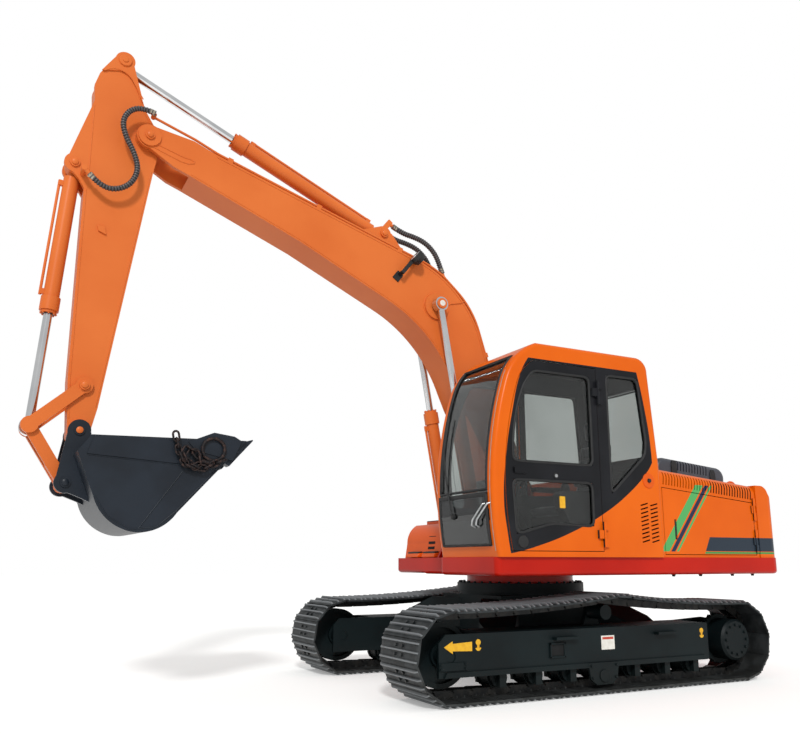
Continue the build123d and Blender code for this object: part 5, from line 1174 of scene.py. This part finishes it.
for name, y in (("left", 1), ("right", -1)):
    hose(f"guarded boom hose {name}", f"boom_hose_{name}", on(boom_view, boom_hose_route, y * 0.088),
         0.044, ["boom"])
    points = on(arm_view, arm_hose_route, y * 0.215)
    hose(f"guarded arm hose {name}", f"arm_hose_{name}", points, 0.038, ["boom", "arm"],
         (points[0], points[5]))


# Bucket.
# Welded from wear plate, in a satin blue-black paint; cast teeth on the cutting edge. A rusty
# sling chain with its shackle hangs over the near cutter.
# Blue-black bucket paint: satin, cooler than the chassis, rubbed by soil in soft patches.
bucket_paint = mottled("bucket paint, satin blue-black", 0.42, 0.3, "#131A23", "#1A222C",
                       skin=(0.01, 0.0006), Specular_IOR_Level=0.3)
give(bucket_paint, "bucket", "bucket_pin", "link_pin")
bucket_seams = [
    [(0.717, 0.285), (0.433, 0.718)],
    [(0.04, 0.212), (0.985, 0.245)],
    [(0.12, 0.5), (0.215, 0.638), (0.38, 0.722), (0.56, 0.698), (0.688, 0.582), (1.08, 0.12)],
]
for way in (1, -1):
    for line in bucket_seams:
        bead("weld seam of the bucket", on(bucket_view, line, way * 0.5), 0.005, "bucket", bucket_paint)
link_x, _, link_z = on(arm_view, [(arm_length + 0.396, 0.014)], 0)[0]
link_caps = [((link_x, way * 0.215, link_z), (0, way, 0), 0.05) for way in (1, -1)]
bolted("caps of the link pin", round_cap, link_caps, "bucket", bucket_paint)
tooth_pins = []
for i in range(5):
    y = 0.5 * (0.88 - 1.76 * i / 4)
    for way in (1, -1):
        tooth_pins.append((on(bucket_view, [(1.13, 0.095)], y + way * 0.045)[0], (0, way, 0), 0.03))
bolted("tooth pins", round_cap, tooth_pins, "bucket", bucket_paint)

# Chain steel: brown rust in patches on a dark oiled grey.
rust, tree, surface, place = finish_material("forged chain steel, oiled and rusting", 0.62, Metallic=0.55)
tree.links.new(blotches(tree, place, 0.02, linear("#1D1A1C"), linear("#4A3630"), low=0.45, high=0.7),
               surface.inputs["Base Color"])
grain(tree, surface, place, 0.004, 0.0008)
chain_tree, given = growth("links along a chain", Spacing="Float", Link="Object", Finish="Material")
spots = node(chain_tree, "GeometryNodeCurveToPoints",
             {"Curve": given["Geometry"], "Length": given["Spacing"]}, mode="LENGTH")
along = node(chain_tree, "FunctionNodeAlignRotationToVector", {"Vector": spots.outputs["Tangent"]},
             axis="X")
index = node(chain_tree, "GeometryNodeInputIndex")
quarter_turn = node(chain_tree, "ShaderNodeMath", {0: index.outputs[0], 1: math.pi / 2},
                    operation="MULTIPLY")
twist = node(chain_tree, "ShaderNodeCombineXYZ", {"X": quarter_turn.outputs[0]})
twisted = node(chain_tree, "FunctionNodeRotateRotation",
               {"Rotation": along.outputs[0], "Rotate By": twist.outputs[0]}, rotation_space="LOCAL")
link_in = node(chain_tree, "GeometryNodeObjectInfo", {"Object": given["Link"]}, transform_space="ORIGINAL")
laid = node(chain_tree, "GeometryNodeInstanceOnPoints",
            {"Points": spots.outputs["Points"], "Instance": link_in.outputs["Geometry"],
             "Rotation": twisted.outputs[0]})
ends_in(chain_tree, laid.outputs[0], given["Finish"])


def ring_bar(shape, outline, radius, sides=8):
    """Adds a closed round bar to a bmesh, bent along an outline of points."""
    stations = []
    for before, at, after in zip(outline[-1:] + outline[:-1], outline, outline[1:] + outline[:1]):
        at, way = Vector(at), (Vector(after) - Vector(before)).normalized()
        first = way.orthogonal() if abs(way.y) > 0.9 else way.cross(Vector((0, 1, 0)))
        first.normalize()
        second = way.cross(first)
        stations.append([shape.verts.new(at + radius * (first * math.cos(t) + second * math.sin(t)))
                         for t in (2 * math.pi * i / sides for i in range(sides))])
    for near, far in zip(stations, stations[1:] + stations[:1]):
        for i in range(sides):
            shape.faces.new((near[i - 1], far[i - 1], far[i], near[i]))


link_bar = bmesh.new()
oval = [(0.024 * math.cos(t) + math.copysign(0.014, math.cos(t)), 0.0, 0.022 * math.sin(t))
        for t in (2 * math.pi * (i + 0.5) / 16 for i in range(16))]
ring_bar(link_bar, oval, 0.0085)
chain_link = piece("one chain link", link_bar, None, rust)
chain_route = [(0.64, 0.03), (0.66, 0.12), (0.7, 0.21), (0.77, 0.265), (0.84, 0.22), (0.8, 0.14),
               (0.73, 0.1), (0.7, 0.17), (0.76, 0.235), (0.86, 0.26), (0.93, 0.215), (0.99, 0.19)]
chain_line = hose_line("chain line", on(bucket_view, chain_route, 0.548))
grown("sling chain", chain_line, chain_tree, "bucket", sharp=60, Spacing=0.052, Link=chain_link,
      Finish=rust)
bpy.data.objects.remove(chain_link)
shackle = bmesh.new()
ring_bar(shackle, on(bucket_view, ring_of((0.93, 0.105), 0.085, 36), 0.533), 0.013, sides=12)
rod(shackle, bucket_view @ Vector((0.84, 0.533, 0.2)), bucket_view @ Vector((0.94, 0.533, 0.215)),
    0.017, sides=16)
piece("shackle", shackle, "bucket", rust, sharp=60)
for shape in (hexagon_head, round_cap):
    bpy.data.objects.remove(shape)


# Floor, lights and camera.
# A plain pale studio floor and backdrop, soft light from above and one broad lamp from the
# cab side, and the camera where the photographer stood.
floor_mesh = bpy.data.meshes.new("floor")
floor_mesh.from_pydata([(-60, -60, 0), (60, -60, 0), (60, 60, 0), (-60, 60, 0)], [], [(0, 1, 2, 3)])
floor = in_scene("floor", floor_mesh)
# Studio floor: matt white, lit a little from itself where the camera sees it.
floor_white, tree, surface, _ = finish_material("studio floor, matt white", 0.9)
rays = node(tree, "ShaderNodeLightPath")
seen = node(tree, "ShaderNodeMath", {0: rays.outputs["Is Camera Ray"], 1: rays.outputs["Is Glossy Ray"]},
            operation="MAXIMUM")
seen = node(tree, "ShaderNodeMath", {0: seen.outputs[0], 1: rays.outputs["Is Transmission Ray"]},
            operation="MAXIMUM")
glow = node(tree, "ShaderNodeMath", {0: seen.outputs[0], 1: 0.27}, operation="MULTIPLY")
surface.inputs["Base Color"].default_value = linear("#F4F4F2")
surface.inputs["Emission Color"].default_value = (1, 1, 1, 1)
tree.links.new(glow.outputs[0], surface.inputs["Emission Strength"])
floor_mesh.materials.append(floor_white)

world = bpy.data.worlds.new("studio")
world.use_nodes = True
bpy.context.scene.world = world
tree = world.node_tree
tree.nodes.clear()
rays = node(tree, "ShaderNodeLightPath")
seen = node(tree, "ShaderNodeMath",
            {0: rays.outputs["Is Camera Ray"], 1: rays.outputs["Is Transmission Ray"]},
            operation="MAXIMUM")
plain = node(tree, "ShaderNodeBackground", {"Color": linear("#FFFFFF"), "Strength": 0.62})
backdrop = node(tree, "ShaderNodeBackground", {"Color": (1, 1, 1, 1), "Strength": 1.0})
both = node(tree, "ShaderNodeMixShader",
            {"Fac": seen.outputs[0], 1: plain.outputs[0], 2: backdrop.outputs[0]})
node(tree, "ShaderNodeOutputWorld", {"Surface": both.outputs[0]})

sun = bpy.data.lights.new("sun", "SUN")
sun.energy = 1.9
sun.angle = math.radians(8)
sun_object = in_scene("sun", sun)
sun_object.rotation_mode = "QUATERNION"
sun_object.rotation_quaternion = Vector((-0.5, -1.0, -0.75)).to_track_quat("-Z", "Y")

camera = bpy.data.cameras.new("camera")
camera.lens = 36.16
camera.sensor_width = 36
camera.shift_y = 0.0335
camera.clip_start = 0.05
camera.clip_end = 400
camera_object = in_scene("camera", camera)
yaw, rise = math.radians(27.3), 0.2060
look = Vector((-math.sin(yaw) * math.cos(rise), -math.cos(yaw) * math.cos(rise), math.sin(rise)))
camera_object.location = (4.682 + slew_x, 6.552, 1.041)
camera_object.rotation_mode = "QUATERNION"
camera_object.rotation_quaternion = look.to_track_quat("-Z", "Y")
bpy.context.scene.camera = camera_object
bpy.context.scene.view_settings.view_transform = "Standard"
